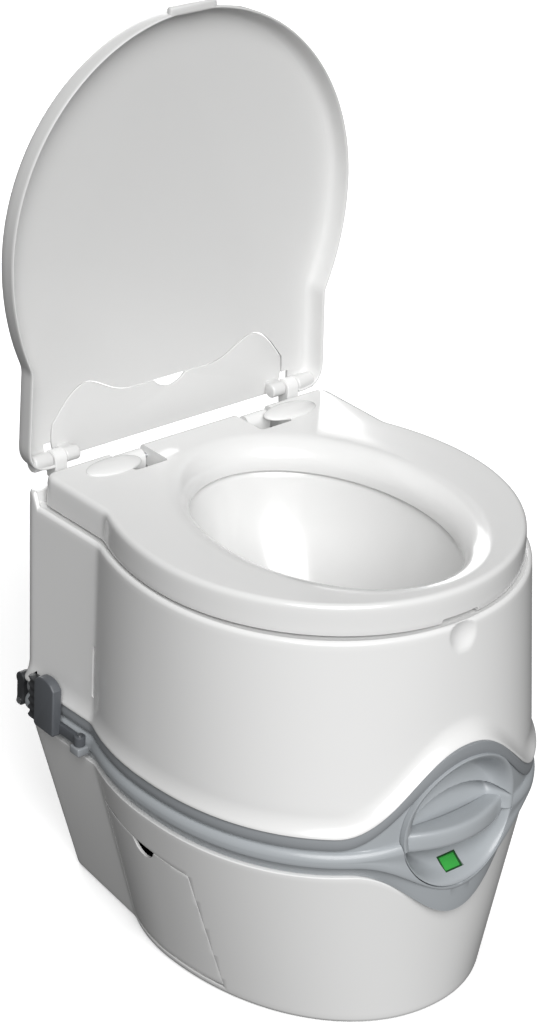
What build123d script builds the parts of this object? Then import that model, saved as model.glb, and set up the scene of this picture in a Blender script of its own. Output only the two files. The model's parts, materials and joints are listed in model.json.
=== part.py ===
"""Portable camp toilet: a flush-water tank with bowl, seat and lid, latched on a waste tank.

Millimetres, +Z up, front at -Y. The origin is the centre of the flat underside.
The lid stands open and every other moving piece is at rest.
"""

import os
from math import asin, cos, degrees, radians, sin, sqrt
from typing import NamedTuple

from build123d import *


class Outline(NamedTuple):
    """Plan outline: straight rear and rear sides, a crease, then elliptical flanks and front."""

    rear_half: float
    crease_half: float
    rear_y: float
    crease_y: float
    half: float
    centre_y: float
    front_y: float


# ---- Driving dimensions -------------------------------------------------------------------------
WALL = 3.0  # moulded wall
CORNER = 14.0  # rear corner radius in plan
GAP = 0.4  # gap between bodies

BASE = Outline(122.9, 135.4, 203.4, 87.9, 151.1, 15.8, -183.7)  # lower tank, at the floor
BAND = Outline(168, 172, 214, 110, 190, 17, -198)  # lower tank, at its top
FLANGE = Outline(177, 177, 222, 113, 198, 17, -200)  # upper tank, lower lip
NECK = Outline(173, 173, 219, 113, 193, 17, -194)  # upper tank, above the lip's flare
TOP = Outline(175, 174, 222, 113, 191.5, 17.5, -180)  # upper tank, under the seat
SEAT_FOOT = Outline(169.5, 168.7, 206, 113, 188.2, 17.5, -176.2)
SEAT_TOP = Outline(168.5, 167.7, 206, 113, 187.2, 17.5, -175.2)
LID = Outline(177.5, 174.5, 6, -95, 197, -200.6, -406.5)  # about the lid's hinge axis

LOWER_TOP = 176.0  # top of the lower tank
SPLIT = 206.0  # joint between the two units
LIP = 219.0  # lower lip of the upper tank
FLARE_TOP = 243.0
ROOF = 405.0  # top of the upper tank
LEDGE_TOP = 418.0
LEDGE_FRONT_Y = 209.5
SEAT_BASE = 407.5
SEAT_HEIGHT = 437.0

SPAN = 118.0  # half width of the swell round the front grip
LOWER_SWELL = (-57.0, 105.0, 52.5, 0.5)  # rise, half width, knot x, knot share of the rise
UPPER_SWELL = (72.0, 115.0, 60.0, 0.54)

EYE_Z = 213.0
EYE_MOUTH = (64.0, 61.0)  # half width and half height at the front
EYE_FLOOR = (48.0, 33.0)
EYE_MOUTH_Y = -205.0
EYE_FLOOR_Y = -171.0
ESCUTCHEON_FRONT_Y = -203.0
ESCUTCHEON_BACK_Y = -163.0

SCOOP_Y = -152.0  # back wall of the lower tank's front scoop
ARCH_Y = -132.0  # back wall of the upper tank's front arch

OUTLET_R = 46.0
BOWL_Y = 5.0
BOWL_RIM = (112.0, 149.0)  # half axes
SEAT_HOLE = (107.0, 144.0)
SEAT_FUNNEL = (125.0, 160.0)

BLADE_Z = 196.0
BLADE_THICK = 3.0
BLADE_HALF = 57.0
HOUSING = (72.0, -140.0, 66.0, 204.5)  # half width, front y, rear y, top z
BAR_FRONT_Y = -208.0
BAR_DEPTH = 25.0
BAR_TOP = 213.0
STEM_HALF = 20.0

GAUGE_Y = -157.5  # level gauge axis
GAUGE_Z = 127.5
FLAG_R = 43.0
FLAG_HALF = 10.5
GAUGE_LUG_X = (12.6, 16.5)
WINDOW = (20.0, 15.0, 3.0)  # width, height along the slope, thickness
WINDOW_Y = -188.8
WINDOW_Z = 163.0
WINDOW_TILT = 38.7  # slope of the grip recess above level, degrees

LID_AXIS = (224.0, 438.0)  # y, z
LID_LEAN = 0.69  # degrees back from upright
LID_RIM = -9.0  # rim and outer face, from the hinge axis
LID_CREST = 13.0
LID_EAR_X = (147.5, 168.0)
LID_BRACKET_X = (133.0, 146.5)
LID_PIN_R = 3.0
SEAT_AXIS = (197.0, 428.0)
SEAT_PIN_R = 2.5
SEAT_NOTCH_X = (56.0, 95.0)
SEAT_NOTCH_Y = 163.0
SEAT_BRACKET_X = (62.0, 89.0)
RUNNING = 0.05  # radial running clearance

NICHE = (125.0, 177.0, 116.0, 170.0)  # half width, front y, low z, high z
SPOUT_X = 95.0
SPOUT_Y = 203.0
SPOUT_Z = 143.0
SPOUT_R = 20.0
SPOUT_END_X = -14.0
SPOUT_CAP_R = 24.0

HANDLE_AXIS = (231.0, 186.0)  # y, z
HANDLE_X = 167.5
HANDLE_RISE = 24.0
HANDLE_R = 6.5

LATCH_X = 178.0  # inner face of the latch block
LATCH_THICK = 15.0
LATCH_Y = (158.0, 190.0)
LATCH_Z = (187.0, 244.0)
LATCH_AXIS = (181.5, 124.0)  # x, y
LATCH_PIN_R = 2.5

DOOR_EDGE = ((84.0, 8.0), (100.0, 140.0), (-36.0, 133.0), (-56.0, 8.0))  # y, z corners
DOOR_GAP = 0.8
DOOR_AXIS = (-142.5, 10.0)  # x, z
DOOR_FOOT = 11.2  # the panel's lower edge, which dips as the door tilts
DOOR_PIN_R = 2.0
DOOR_KNUCKLE_Y = (-15.0, 41.0)

FILLER_X = 105.0
FILLER_FOOT = (190.0, 346.0)  # y, z where the neck's axis starts
FILLER_R = 21.0
FILLER_POCKET = (75.0, 135.0, 180.0, 338.0, 398.0)  # x, x, front y, low z, high z
BUTTON_Y = 168.0
BUTTON_Z = 366.0
VENT = (-62.0, 148.0)  # x, y
PUMP = (-118.0, 168.0)

os.makedirs("parts", exist_ok=True)


# ---- Shared shapes ------------------------------------------------------------------------------
def grown(shape, amount):
    """The outline moved outwards by amount all round."""
    return Outline(
        shape.rear_half + amount,
        shape.crease_half + amount,
        shape.rear_y + amount,
        shape.crease_y,
        shape.half + amount,
        shape.centre_y,
        shape.front_y - amount,
    )


def between(low, high, share):
    """The outline that lies share of the way from low to high."""
    return Outline(*(a + (b - a) * share for a, b in zip(low, high)))


def section(shape, plane, corner=CORNER):
    """The outline as a face on the plane."""
    rise = shape.crease_y - shape.centre_y
    back = rise / sqrt(1 - (shape.crease_half / shape.half) ** 2)
    turn = degrees(asin(rise / back))
    centre = (0, shape.centre_y)
    with BuildSketch(plane) as face:
        with BuildLine():
            Line((-shape.rear_half, shape.rear_y), (shape.rear_half, shape.rear_y))
            Line((shape.rear_half, shape.rear_y), (shape.crease_half, shape.crease_y))
            EllipticalCenterArc(centre, shape.half, back, 0, arc_size=turn)
            EllipticalCenterArc(centre, shape.half, shape.centre_y - shape.front_y, 180, arc_size=180)
            EllipticalCenterArc(centre, shape.half, back, 180 - turn, arc_size=turn)
            Line((-shape.crease_half, shape.crease_y), (-shape.rear_half, shape.rear_y))
        make_face()
        fillet(face.vertices().group_by(Axis.Y)[-1], corner)
    return face.sketch


def level(z):
    return Plane.XY.offset(z)


def prism(shape, low, high, corner=CORNER):
    """The outline extruded from low to high."""
    return extrude(section(shape, level(low), corner), amount=high - low, mode=Mode.PRIVATE)


def tapered(low_shape, low, high_shape, high):
    """A straight-sided loft between two outlines."""
    faces = [section(low_shape, level(low)), section(high_shape, level(high))]
    return loft(faces, mode=Mode.PRIVATE)


def block(x0, x1, y0, y1, z0, z1):
    """An axis-aligned box between two corners."""
    solid = Box(x1 - x0, y1 - y0, z1 - z0, mode=Mode.PRIVATE)
    return Pos((x0 + x1) / 2, (y0 + y1) / 2, (z0 + z1) / 2) * solid


def rod(radius, x0, x1, y, z):
    """A cylinder along X."""
    return Pos((x0 + x1) / 2, y, z) * Rot(0, 90, 0) * Cylinder(radius, x1 - x0, mode=Mode.PRIVATE)


def post(radius, x, y, z0, z1):
    """A cylinder along Z."""
    return Pos(x, y, (z0 + z1) / 2) * Cylinder(radius, z1 - z0, mode=Mode.PRIVATE)


def spindle(radius, x, y0, y1, z):
    """A cylinder along Y."""
    return Pos(x, (y0 + y1) / 2, z) * Rot(90, 0, 0) * Cylinder(radius, y1 - y0, mode=Mode.PRIVATE)


def ellipse_face(radii, plane):
    with BuildSketch(plane) as face:
        Ellipse(*radii)
    return face.sketch


def swell_edge(side_z, rise, half, knot_x, knot_share):
    """An edge that runs level at both sides and swells by rise at the middle."""
    knots = [(-half, side_z), (-knot_x, side_z + rise * knot_share), (0, side_z + rise)]
    knots += [(knot_x, side_z + rise * knot_share), (half, side_z)]
    Line((-SPAN, side_z), (-half, side_z))
    Spline(*knots, tangents=((1, 0), (1, 0)))
    Line((half, side_z), (SPAN, side_z))


def front_wedge(low_edge, high_edge, back_y):
    """The solid between two front edges, from back_y forwards. An edge is a swell or a height."""
    with BuildSketch(Plane.XZ.offset(-back_y)) as face:
        with BuildLine():
            ends = []
            for edge in (low_edge, high_edge):
                if isinstance(edge, tuple):
                    swell_edge(*edge)
                    ends.append(edge[0])
                else:
                    Line((-SPAN, edge), (SPAN, edge))
                    ends.append(edge)
            Line((-SPAN, ends[0]), (-SPAN, ends[1]))
            Line((SPAN, ends[0]), (SPAN, ends[1]))
        make_face()
    return extrude(face.sketch, amount=back_y + 240, mode=Mode.PRIVATE)


def eye_solid(shrink=0.0):
    """The grip recess as a solid: an oval mouth that narrows to its floor, run on past the mouth."""
    depth = EYE_FLOOR_Y - EYE_MOUTH_Y
    ahead = 8.0
    rates = [(mouth - floor) / depth for mouth, floor in zip(EYE_MOUTH, EYE_FLOOR)]
    mouth = [size + rate * ahead - shrink for size, rate in zip(EYE_MOUTH, rates)]
    floor = [size - shrink for size in EYE_FLOOR]
    faces = []
    for radii, y in ((floor, EYE_FLOOR_Y - shrink), (mouth, EYE_MOUTH_Y - ahead)):
        faces.append(ellipse_face(radii, Plane((0, y, EYE_Z), x_dir=(1, 0, 0), z_dir=(0, -1, 0))))
    return loft(faces, mode=Mode.PRIVATE)


def door_prism(margin):
    """The paper door's outline, grown by margin, as a solid across the left wall."""
    with BuildSketch(Plane.YZ.offset(-60)) as face:
        with BuildLine():
            Polyline(*DOOR_EDGE, close=True)
        make_face()
        offset(amount=margin, kind=Kind.INTERSECTION)
    return extrude(face.sketch, amount=-150, mode=Mode.PRIVATE)


def finish(part, name):
    part.part.label = name
    export_step(part.part, f"parts/{name}.step")


# ---- Lower tank ---------------------------------------------------------------------------------
lower_outside = tapered(BASE, 0, BAND, LOWER_TOP)
floor_share = WALL / LOWER_TOP
lower_cavity = tapered(
    grown(between(BASE, BAND, floor_share), -WALL),
    WALL,
    grown(between(BASE, BAND, 1 - floor_share), -WALL),
    LOWER_TOP - WALL,
)
lower_edge = (LOWER_TOP, *LOWER_SWELL)
inner_edge = (LOWER_TOP - WALL, *LOWER_SWELL)
niche_half, niche_y, niche_low, niche_high = NICHE
compartment_shell = (lower_cavity & door_prism(5)) & block(-200, -62, -100, 140, 0, LOWER_TOP)

with BuildPart() as lower_tank:
    add(lower_outside)
    add(front_wedge(lower_edge, 250, SCOOP_Y), mode=Mode.SUBTRACT)
    add(block(-niche_half, niche_half, niche_y, 260, niche_low, niche_high), mode=Mode.SUBTRACT)
    cavity = lower_cavity - front_wedge(inner_edge, 250, SCOOP_Y + WALL)
    cavity -= block(
        -niche_half - WALL, niche_half + WALL, niche_y - WALL, 260, niche_low - WALL, niche_high + WALL
    )
    add(cavity, mode=Mode.SUBTRACT)
    add(post(OUTLET_R + 4, 0, 0, 150, 190), mode=Mode.SUBTRACT)
    add(post(8.0, *VENT, 150, 190), mode=Mode.SUBTRACT)
    add(post(17.0 + RUNNING, SPOUT_X, SPOUT_Y, niche_low - 10, niche_low + 5), mode=Mode.SUBTRACT)
    add(block(-7, 7, SCOOP_Y - 5, SCOOP_Y + 10, 122, 141), mode=Mode.SUBTRACT)
    add(door_prism(0), mode=Mode.SUBTRACT)
finish(lower_tank, "lower_tank")

door_x, door_z = DOOR_AXIS
with BuildPart() as paper_compartment:
    add(compartment_shell)
    inner_room = door_prism(2) & block(-210, -64.5, -100, 140, 0, LOWER_TOP)
    add(inner_room, mode=Mode.SUBTRACT)
    for knuckle_y in DOOR_KNUCKLE_Y:
        for lug_y in (knuckle_y - 5, knuckle_y + 5.5):
            add(block(door_x - 2.9, door_x + 5, lug_y, lug_y + 3.5, 5.0, 14) & lower_cavity)
        add(spindle(DOOR_PIN_R, door_x, knuckle_y - 6, knuckle_y + 10, door_z), mode=Mode.SUBTRACT)
finish(paper_compartment, "paper_compartment")

with BuildPart() as door_pins:
    for knuckle_y in DOOR_KNUCKLE_Y:
        add(spindle(DOOR_PIN_R, door_x, knuckle_y - 5, knuckle_y + 9, door_z))
finish(door_pins, "door_pins")

door_skin = (lower_outside - lower_cavity) & door_prism(-DOOR_GAP)
door_skin -= block(-210, -60, -100, 140, 0, DOOR_FOOT)
with BuildPart() as paper_door:
    add(door_skin)
    with BuildSketch(Plane.YZ.offset(-60)):
        with Locations((27, 149)):
            Circle(21)
    extrude(amount=-150, mode=Mode.SUBTRACT)
    for knuckle_y in DOOR_KNUCKLE_Y:
        add(spindle(3.5, door_x, knuckle_y - 1, knuckle_y + 5, door_z))
        add(block(-160, door_x, knuckle_y - 1, knuckle_y + 5, 11.5, 15.5) & lower_cavity)
        pin_room = spindle(DOOR_PIN_R + RUNNING, door_x, knuckle_y - 6, knuckle_y + 10, door_z)
        add(pin_room, mode=Mode.SUBTRACT)
finish(paper_door, "paper_door")

# ---- Grey collar on the lower tank --------------------------------------------------------------
front_clear = block(-SPAN, SPAN, -260, -105, 150, 300)
STRIP_TOP = 190.0
RIDGE_TOP = 203.5
with BuildPart() as collar:
    add(tapered(grown(BAND, -1.5), LOWER_TOP, grown(BAND, 0.5), STRIP_TOP))
    add(tapered(grown(FLANGE, -4), STRIP_TOP, grown(FLANGE, -1.5), STRIP_TOP + 5))
    add(tapered(grown(FLANGE, -1.5), STRIP_TOP + 5, grown(FLANGE, -4), RIDGE_TOP))
    add(prism(grown(BAND, -12), LOWER_TOP - 1, RIDGE_TOP + 1), mode=Mode.SUBTRACT)
    add(front_clear, mode=Mode.SUBTRACT)
    for side in (-1, 1):
        low_x, high_x = sorted((side * 170.0, side * 188.0))
        add(block(low_x, high_x, 117, 131, 184, 192.6))
        add(post(LATCH_PIN_R, side * LATCH_AXIS[0], LATCH_AXIS[1], 180, 195), mode=Mode.SUBTRACT)
        low_x, high_x = sorted((side * 151.0, side * 160.0))
        add(block(low_x, high_x, 206, 237, 180, 192))
        add(rod(3.0, low_x - 1, high_x + 1, *HANDLE_AXIS), mode=Mode.SUBTRACT)
finish(collar, "collar")

escutcheon_ring = prism(grown(FLANGE, -3)._replace(front_y=ESCUTCHEON_FRONT_Y), 90, 300)
escutcheon_ring -= prism(FLANGE._replace(half=180, front_y=ESCUTCHEON_BACK_Y), 80, 310)
eye = eye_solid()
slope = Plane(
    (0, WINDOW_Y, WINDOW_Z),
    x_dir=(1, 0, 0),
    z_dir=(0, -sin(radians(WINDOW_TILT)), cos(radians(WINDOW_TILT))),
)
window_room = extrude(slope * Rectangle(WINDOW[0], WINDOW[1]), amount=-10)
with BuildPart() as front_escutcheon:
    add(front_wedge((LOWER_TOP + GAP, *LOWER_SWELL), (SPLIT - GAP, *UPPER_SWELL), -105) & escutcheon_ring)
    add(block(-SPAN - 1, SPAN + 1, SCOOP_Y - 1, 0, 90, LOWER_TOP + GAP), mode=Mode.SUBTRACT)
    add(eye, mode=Mode.SUBTRACT)
    add(window_room, mode=Mode.SUBTRACT)
    add(rod(FLAG_R + 1.5, -FLAG_HALF - 1.5, FLAG_HALF + 1.5, GAUGE_Y, GAUGE_Z), mode=Mode.SUBTRACT)
    add(block(-STEM_HALF - 1, STEM_HALF + 1, -200, -150, BLADE_Z - 0.6, 199.6), mode=Mode.SUBTRACT)
    for side in (-1, 1):
        low_x, high_x = sorted(side * edge for edge in GAUGE_LUG_X)
        add(block(low_x, high_x, -172, SCOOP_Y - 1, GAUGE_Z - 3.6, 150))
        add(rod(2.0, low_x - 1, high_x + 1, GAUGE_Y, GAUGE_Z), mode=Mode.SUBTRACT)
finish(front_escutcheon, "front_escutcheon")

with BuildPart() as level_window:
    with BuildSketch(slope.offset(-WINDOW[2])):
        Rectangle(WINDOW[0], WINDOW[1])
    extrude(amount=WINDOW[2])
finish(level_window, "level_window")

with BuildPart() as float_pin:
    add(rod(2.0, -GAUGE_LUG_X[1], GAUGE_LUG_X[1], GAUGE_Y, GAUGE_Z))
finish(float_pin, "float_pin")

arm_plane = Plane((0, GAUGE_Y, GAUGE_Z), x_dir=(1, 0, 0), z_dir=(0, cos(radians(130)), sin(radians(130))))
flag_arm = extrude(arm_plane.offset(6) * Rectangle(6, 3), amount=FLAG_R - 7)
with BuildPart() as level_float:
    add(rod(4.5, -5, 5, GAUGE_Y, GAUGE_Z))
    add(block(-3, 3, GAUGE_Y, -90, GAUGE_Z - 2.5, GAUGE_Z + 2.5))
    add(block(-20, 20, -96, -52, 115, 137))
    add(rod(2.0 + RUNNING, -6, 6, GAUGE_Y, GAUGE_Z), mode=Mode.SUBTRACT)
finish(level_float, "level_float")

FLAG_START = 100.0  # degrees round the gauge axis, from +Y
FLAG_END = 160.0
with BuildPart() as level_flag:
    with BuildSketch(Plane.YZ.offset(-FLAG_HALF)):
        with BuildLine():
            CenterArc((GAUGE_Y, GAUGE_Z), FLAG_R, FLAG_START, FLAG_END - FLAG_START)
            CenterArc((GAUGE_Y, GAUGE_Z), FLAG_R - 2, FLAG_START, FLAG_END - FLAG_START)
            for angle in (FLAG_START, FLAG_END):
                end = (cos(radians(angle)), sin(radians(angle)))
                Line(
                    (GAUGE_Y + (FLAG_R - 2) * end[0], GAUGE_Z + (FLAG_R - 2) * end[1]),
                    (GAUGE_Y + FLAG_R * end[0], GAUGE_Z + FLAG_R * end[1]),
                )
        make_face()
    extrude(amount=2 * FLAG_HALF)
    add(flag_arm)
finish(level_flag, "level_flag")

# ---- Waste valve --------------------------------------------------------------------------------
housing_half, housing_front, housing_rear, housing_top = HOUSING
with BuildPart() as valve_housing:
    add(block(-housing_half, housing_half, housing_front, housing_rear, LOWER_TOP, housing_top))
    add(post(OUTLET_R + 2, 0, 0, 170, 210), mode=Mode.SUBTRACT)
    slot_half = BLADE_HALF + 0.6
    slot_rear = BLADE_HALF + 0.6
    slot_low, slot_high = BLADE_Z - 0.6, BLADE_Z + BLADE_THICK + 0.6
    add(block(-slot_half, slot_half, housing_front - 5, slot_rear, slot_low, slot_high), mode=Mode.SUBTRACT)
    add(post(60.0, 0, 0, 175, 178) - post(55.0, 0, 0, 175, 178), mode=Mode.SUBTRACT)
    with Locations(level(housing_top)):
        with GridLocations(128, 188, 2, 2):
            with Locations((0, (housing_front + housing_rear) / 2)):
                CounterBoreHole(2.0, 4.2, 3.0)
finish(valve_housing, "valve_housing")

with BuildPart() as housing_screws:
    centre_y = (housing_front + housing_rear) / 2
    for screw_x in (-64, 64):
        for screw_y in (centre_y - 94, centre_y + 94):
            add(post(1.95, screw_x, screw_y, LOWER_TOP, housing_top - 2.9))
            add(post(4.0, screw_x, screw_y, housing_top - 2.9, housing_top - 0.3))
finish(housing_screws, "housing_screws")

with BuildPart() as deck_gasket:
    add(post(59.8, 0, 0, 176, 177.9))
    add(post(55.2, 0, 0, 170, 180), mode=Mode.SUBTRACT)
finish(deck_gasket, "deck_gasket")

with BuildPart() as bowl_seal:
    add(post(56.0, 0, 0, housing_top, 208.2))
    add(post(48.0, 0, 0, 200, 210), mode=Mode.SUBTRACT)
finish(bowl_seal, "bowl_seal")

with BuildPart() as valve_blade:
    add(block(-BLADE_HALF, BLADE_HALF, -BLADE_HALF, BLADE_HALF, BLADE_Z, BLADE_Z + BLADE_THICK))
finish(valve_blade, "valve_blade")

with BuildPart() as valve_stem:
    add(block(-STEM_HALF, STEM_HALF, -190, -BLADE_HALF, BLADE_Z, BLADE_Z + BLADE_THICK))
finish(valve_stem, "valve_stem")

BAR_END_Y = -184.0
with BuildPart() as bar_blank:
    with BuildSketch(level(BLADE_Z)):
        with BuildLine():
            front_arc = ThreePointArc((-70, BAR_END_Y), (0, BAR_FRONT_Y), (70, BAR_END_Y))
            rear_arc = ThreePointArc((-70, -172), (0, BAR_FRONT_Y + BAR_DEPTH), (70, -172))
            Line(front_arc @ 0, rear_arc @ 0)
            Line(front_arc @ 1, rear_arc @ 1)
        make_face()
    extrude(amount=BAR_TOP - BLADE_Z)
    fillet(bar_blank.edges().group_by(Axis.Y)[0].sort_by(Axis.Z)[-1], 4)

with BuildPart() as valve_bar:
    add(bar_blank.part & eye_solid(shrink=0.9))
    add(valve_stem.part, mode=Mode.SUBTRACT)
finish(valve_bar, "valve_bar")

# ---- Air vent of the lower tank -----------------------------------------------------------------
with BuildPart() as vent_valve:
    add(post(7.9, *VENT, 168, 176))
    add(post(15.0, *VENT, 176, 190))
    add(post(11.0, *VENT, 178, 192), mode=Mode.SUBTRACT)
    add(post(3.0, *VENT, 160, 180), mode=Mode.SUBTRACT)
finish(vent_valve, "vent_valve")

with BuildPart() as vent_button:
    add(post(10.6, *VENT, 188, 199))
    fillet(vent_button.edges().sort_by(Axis.Z)[-1], 2.5)
    add(post(2.8, *VENT, 165, 188))
finish(vent_button, "vent_button")

with BuildPart() as vent_spring:
    with BuildLine(Plane((*VENT, 179.0))) as coil_line:
        Helix(pitch=2.6, height=7.8, radius=6.0)
    with BuildSketch(Plane(origin=coil_line.line @ 0, z_dir=coil_line.line % 0)):
        Circle(0.6)
    sweep()
finish(vent_spring, "vent_spring")

# ---- Pour-out spout -----------------------------------------------------------------------------
with BuildPart() as spout:
    add(post(21.0, SPOUT_X, SPOUT_Y, niche_low + 0.5, 166))
    add(rod(SPOUT_R, SPOUT_END_X, SPOUT_X, SPOUT_Y, SPOUT_Z))
    add(post(17.0, SPOUT_X, SPOUT_Y, niche_low - WALL - 4, niche_low + 1))
    add(post(14.0, SPOUT_X, SPOUT_Y, 100, 162), mode=Mode.SUBTRACT)
    add(rod(16.5, SPOUT_END_X - 1, SPOUT_X, SPOUT_Y, SPOUT_Z), mode=Mode.SUBTRACT)
    add(post(19.0, SPOUT_X, SPOUT_Y, niche_low, niche_low + 2.5) - post(16.5, SPOUT_X, SPOUT_Y, 100, 140),
        mode=Mode.SUBTRACT)
finish(spout, "spout")

with BuildPart() as spout_oring:
    add(post(18.9, SPOUT_X, SPOUT_Y, niche_low + 0.4, niche_low + 2.4))
    add(post(17.1, SPOUT_X, SPOUT_Y, 100, 140), mode=Mode.SUBTRACT)
finish(spout_oring, "spout_oring")

with BuildPart() as spout_cap:
    add(rod(SPOUT_CAP_R, SPOUT_END_X - 5, SPOUT_END_X + 16, SPOUT_Y, SPOUT_Z))
    fillet(spout_cap.edges().sort_by(Axis.X)[0], 2.5)
    add(rod(SPOUT_R + RUNNING, SPOUT_END_X - 2, SPOUT_END_X + 20, SPOUT_Y, SPOUT_Z), mode=Mode.SUBTRACT)
    cap_axis = Plane((SPOUT_END_X, SPOUT_Y, SPOUT_Z), x_dir=(0, 1, 0), z_dir=(1, 0, 0))
    with BuildSketch(cap_axis.offset(-1)):
        with PolarLocations(SPOUT_CAP_R + 0.4, 24):
            Circle(1.1)
    extrude(amount=20, mode=Mode.SUBTRACT)
finish(spout_cap, "spout_cap")

with BuildPart() as cap_gasket:
    add(rod(19.5, SPOUT_END_X - 2, SPOUT_END_X - GAP, SPOUT_Y, SPOUT_Z))
    add(rod(15.5, SPOUT_END_X - 5, SPOUT_END_X + 5, SPOUT_Y, SPOUT_Z), mode=Mode.SUBTRACT)
finish(cap_gasket, "cap_gasket")

# ---- Carry handle -------------------------------------------------------------------------------
handle_y, handle_z = HANDLE_AXIS
with BuildPart() as carry_handle:
    add(rod(HANDLE_R, -HANDLE_X - 5, HANDLE_X + 5, handle_y, handle_z + HANDLE_RISE))
    for side in (-1, 1):
        low_x, high_x = sorted((side * (HANDLE_X - 5), side * (HANDLE_X + 5)))
        add(block(low_x, high_x, handle_y - 5, handle_y + 5, handle_z, handle_z + HANDLE_RISE))
        add(rod(5.0, low_x, high_x, handle_y, handle_z))
    add(rod(3.0 + RUNNING, -HANDLE_X - 6, HANDLE_X + 6, handle_y, handle_z), mode=Mode.SUBTRACT)
finish(carry_handle, "carry_handle")

with BuildPart() as handle_pins:
    for side in (-1, 1):
        low_x, high_x = sorted((side * 151.0, side * 174.0))
        add(rod(3.0, low_x, high_x, handle_y, handle_z))
finish(handle_pins, "handle_pins")

# ---- Side latches -------------------------------------------------------------------------------
latch_y0, latch_y1 = LATCH_Y
latch_z0, latch_z1 = LATCH_Z


def latch(side):
    """A clip block on an arm that turns about an upright pin."""
    with BuildPart() as clip:
        low_x, high_x = sorted((side * LATCH_X, side * (LATCH_X + LATCH_THICK)))
        with BuildSketch(Plane.YZ.offset(low_x)):
            with BuildLine():
                arc = ThreePointArc((latch_y0, 238), (174, latch_z1), (latch_y1, 236))
                Line(arc @ 1, (latch_y1, latch_z0 + 3))
                Line((latch_y1, latch_z0 + 3), (latch_y0, latch_z0))
                Line((latch_y0, latch_z0), arc @ 0)
            make_face()
        extrude(amount=high_x - low_x)
        fillet(clip.edges().filter_by(Axis.Z), 3)
        arm_x = sorted((side * LATCH_X, side * (LATCH_X + 6)))
        add(block(*arm_x, LATCH_AXIS[1], latch_y0 + 4, 193, 203))
        add(post(5.5, side * LATCH_AXIS[0], LATCH_AXIS[1], 193, 203))
        add(post(LATCH_PIN_R + RUNNING, side * LATCH_AXIS[0], LATCH_AXIS[1], 190, 206), mode=Mode.SUBTRACT)
    return clip


for latch_name, latch_side in (("latch_left", -1), ("latch_right", 1)):
    finish(latch(latch_side), latch_name)

with BuildPart() as latch_pins:
    for side in (-1, 1):
        add(post(LATCH_PIN_R, side * LATCH_AXIS[0], LATCH_AXIS[1], 184, 204.5))
finish(latch_pins, "latch_pins")

# ---- Upper tank and its base tray ---------------------------------------------------------------
upper_edge = (LIP, *UPPER_SWELL)
with BuildPart() as base_tray:
    add(prism(grown(FLANGE, -2.5), SPLIT + GAP, LIP))
    add(prism(grown(FLANGE, -7), SPLIT - 2, 209), mode=Mode.SUBTRACT)
    add(prism(grown(FLANGE, -7), 212, LIP + 2), mode=Mode.SUBTRACT)
    add(front_clear, mode=Mode.SUBTRACT)
    arch_ring = prism(grown(FLANGE, -2.5), 190, 300) - prism(grown(FLANGE, -15), 180, 310)
    add(front_wedge((SPLIT + GAP, *UPPER_SWELL), (LIP - 0.2, *UPPER_SWELL), -105) & arch_ring)
    add(post(OUTLET_R + WALL + 5, 0, 0, 200, 220), mode=Mode.SUBTRACT)
finish(base_tray, "base_tray")


def bowl_solid(extra):
    """The bowl's inside form, grown by extra: oval at the rim, round at the outlet."""
    rings = (
        (BOWL_RIM[0], BOWL_RIM[1], BOWL_Y, ROOF + 2),
        (98.0, 130.0, BOWL_Y, 360.0),
        (62.0, 78.0, 3.0, 280.0),
        (OUTLET_R, OUTLET_R, 0.0, 209.0),
    )
    faces = [ellipse_face((a + extra, b + extra), Plane((0, y, z))) for a, b, y, z in rings]
    return loft(faces, mode=Mode.PRIVATE)


bowl_outside = bowl_solid(WALL)
finger_scoop = Pos(0, -206, 396) * Sphere(30)
neck_plane = Plane((FILLER_X, *FILLER_FOOT), x_dir=(1, 0, 0), z_dir=(0, 1, 1))
neck_outside = extrude(neck_plane.offset(-10) * Circle(FILLER_R), amount=34)
neck_inside = extrude(neck_plane.offset(-30) * Circle(FILLER_R - WALL), amount=70)
pocket_x0, pocket_x1, pocket_y, pocket_z0, pocket_z1 = FILLER_POCKET
filler_pocket = block(pocket_x0, pocket_x1, pocket_y, 260, pocket_z0, pocket_z1)
upper_cavity = tapered(
    grown(between(FLANGE, NECK, WALL / (FLARE_TOP - LIP)), -WALL), LIP + WALL, grown(NECK, -WALL), FLARE_TOP
)
upper_cavity += tapered(grown(NECK, -WALL), FLARE_TOP, grown(TOP, -WALL), ROOF - WALL)
upper_cavity -= front_wedge(150, (LIP + WALL, *UPPER_SWELL), ARCH_Y + WALL)
upper_cavity -= Pos(0, -206, 396) * Sphere(30 + WALL)
upper_cavity -= block(
    pocket_x0 - WALL, pocket_x1 + WALL, pocket_y - WALL, 260, pocket_z0 - WALL, pocket_z1 + WALL
)
roof_hole = extrude(ellipse_face((BOWL_RIM[0] + 8, BOWL_RIM[1] + 8), Plane((0, BOWL_Y, 395))), amount=15)
battery_bay = block(-62, 0, 190, 240, 300, 336)
with BuildPart() as upper_tank:
    add(tapered(FLANGE, LIP, NECK, FLARE_TOP))
    add(tapered(NECK, FLARE_TOP, TOP, ROOF))
    add(prism(grown(TOP, -0.5), ROOF, LEDGE_TOP) & block(-200, 200, LEDGE_FRONT_Y, 260, ROOF, LEDGE_TOP))
    fillet(upper_tank.faces().sort_by(Axis.Z)[-1].edges().filter_by(Axis.X), 4)
    add(front_wedge(150, upper_edge, ARCH_Y), mode=Mode.SUBTRACT)
    add(finger_scoop, mode=Mode.SUBTRACT)
    add(upper_cavity, mode=Mode.SUBTRACT)
    add(filler_pocket, mode=Mode.SUBTRACT)
    add(neck_outside)
    add(neck_inside, mode=Mode.SUBTRACT)
    add(roof_hole, mode=Mode.SUBTRACT)
    add(post(OUTLET_R + WALL + 10, 0, 0, 200, 230), mode=Mode.SUBTRACT)
    add(battery_bay, mode=Mode.SUBTRACT)
finish(upper_tank, "upper_tank")

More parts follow.
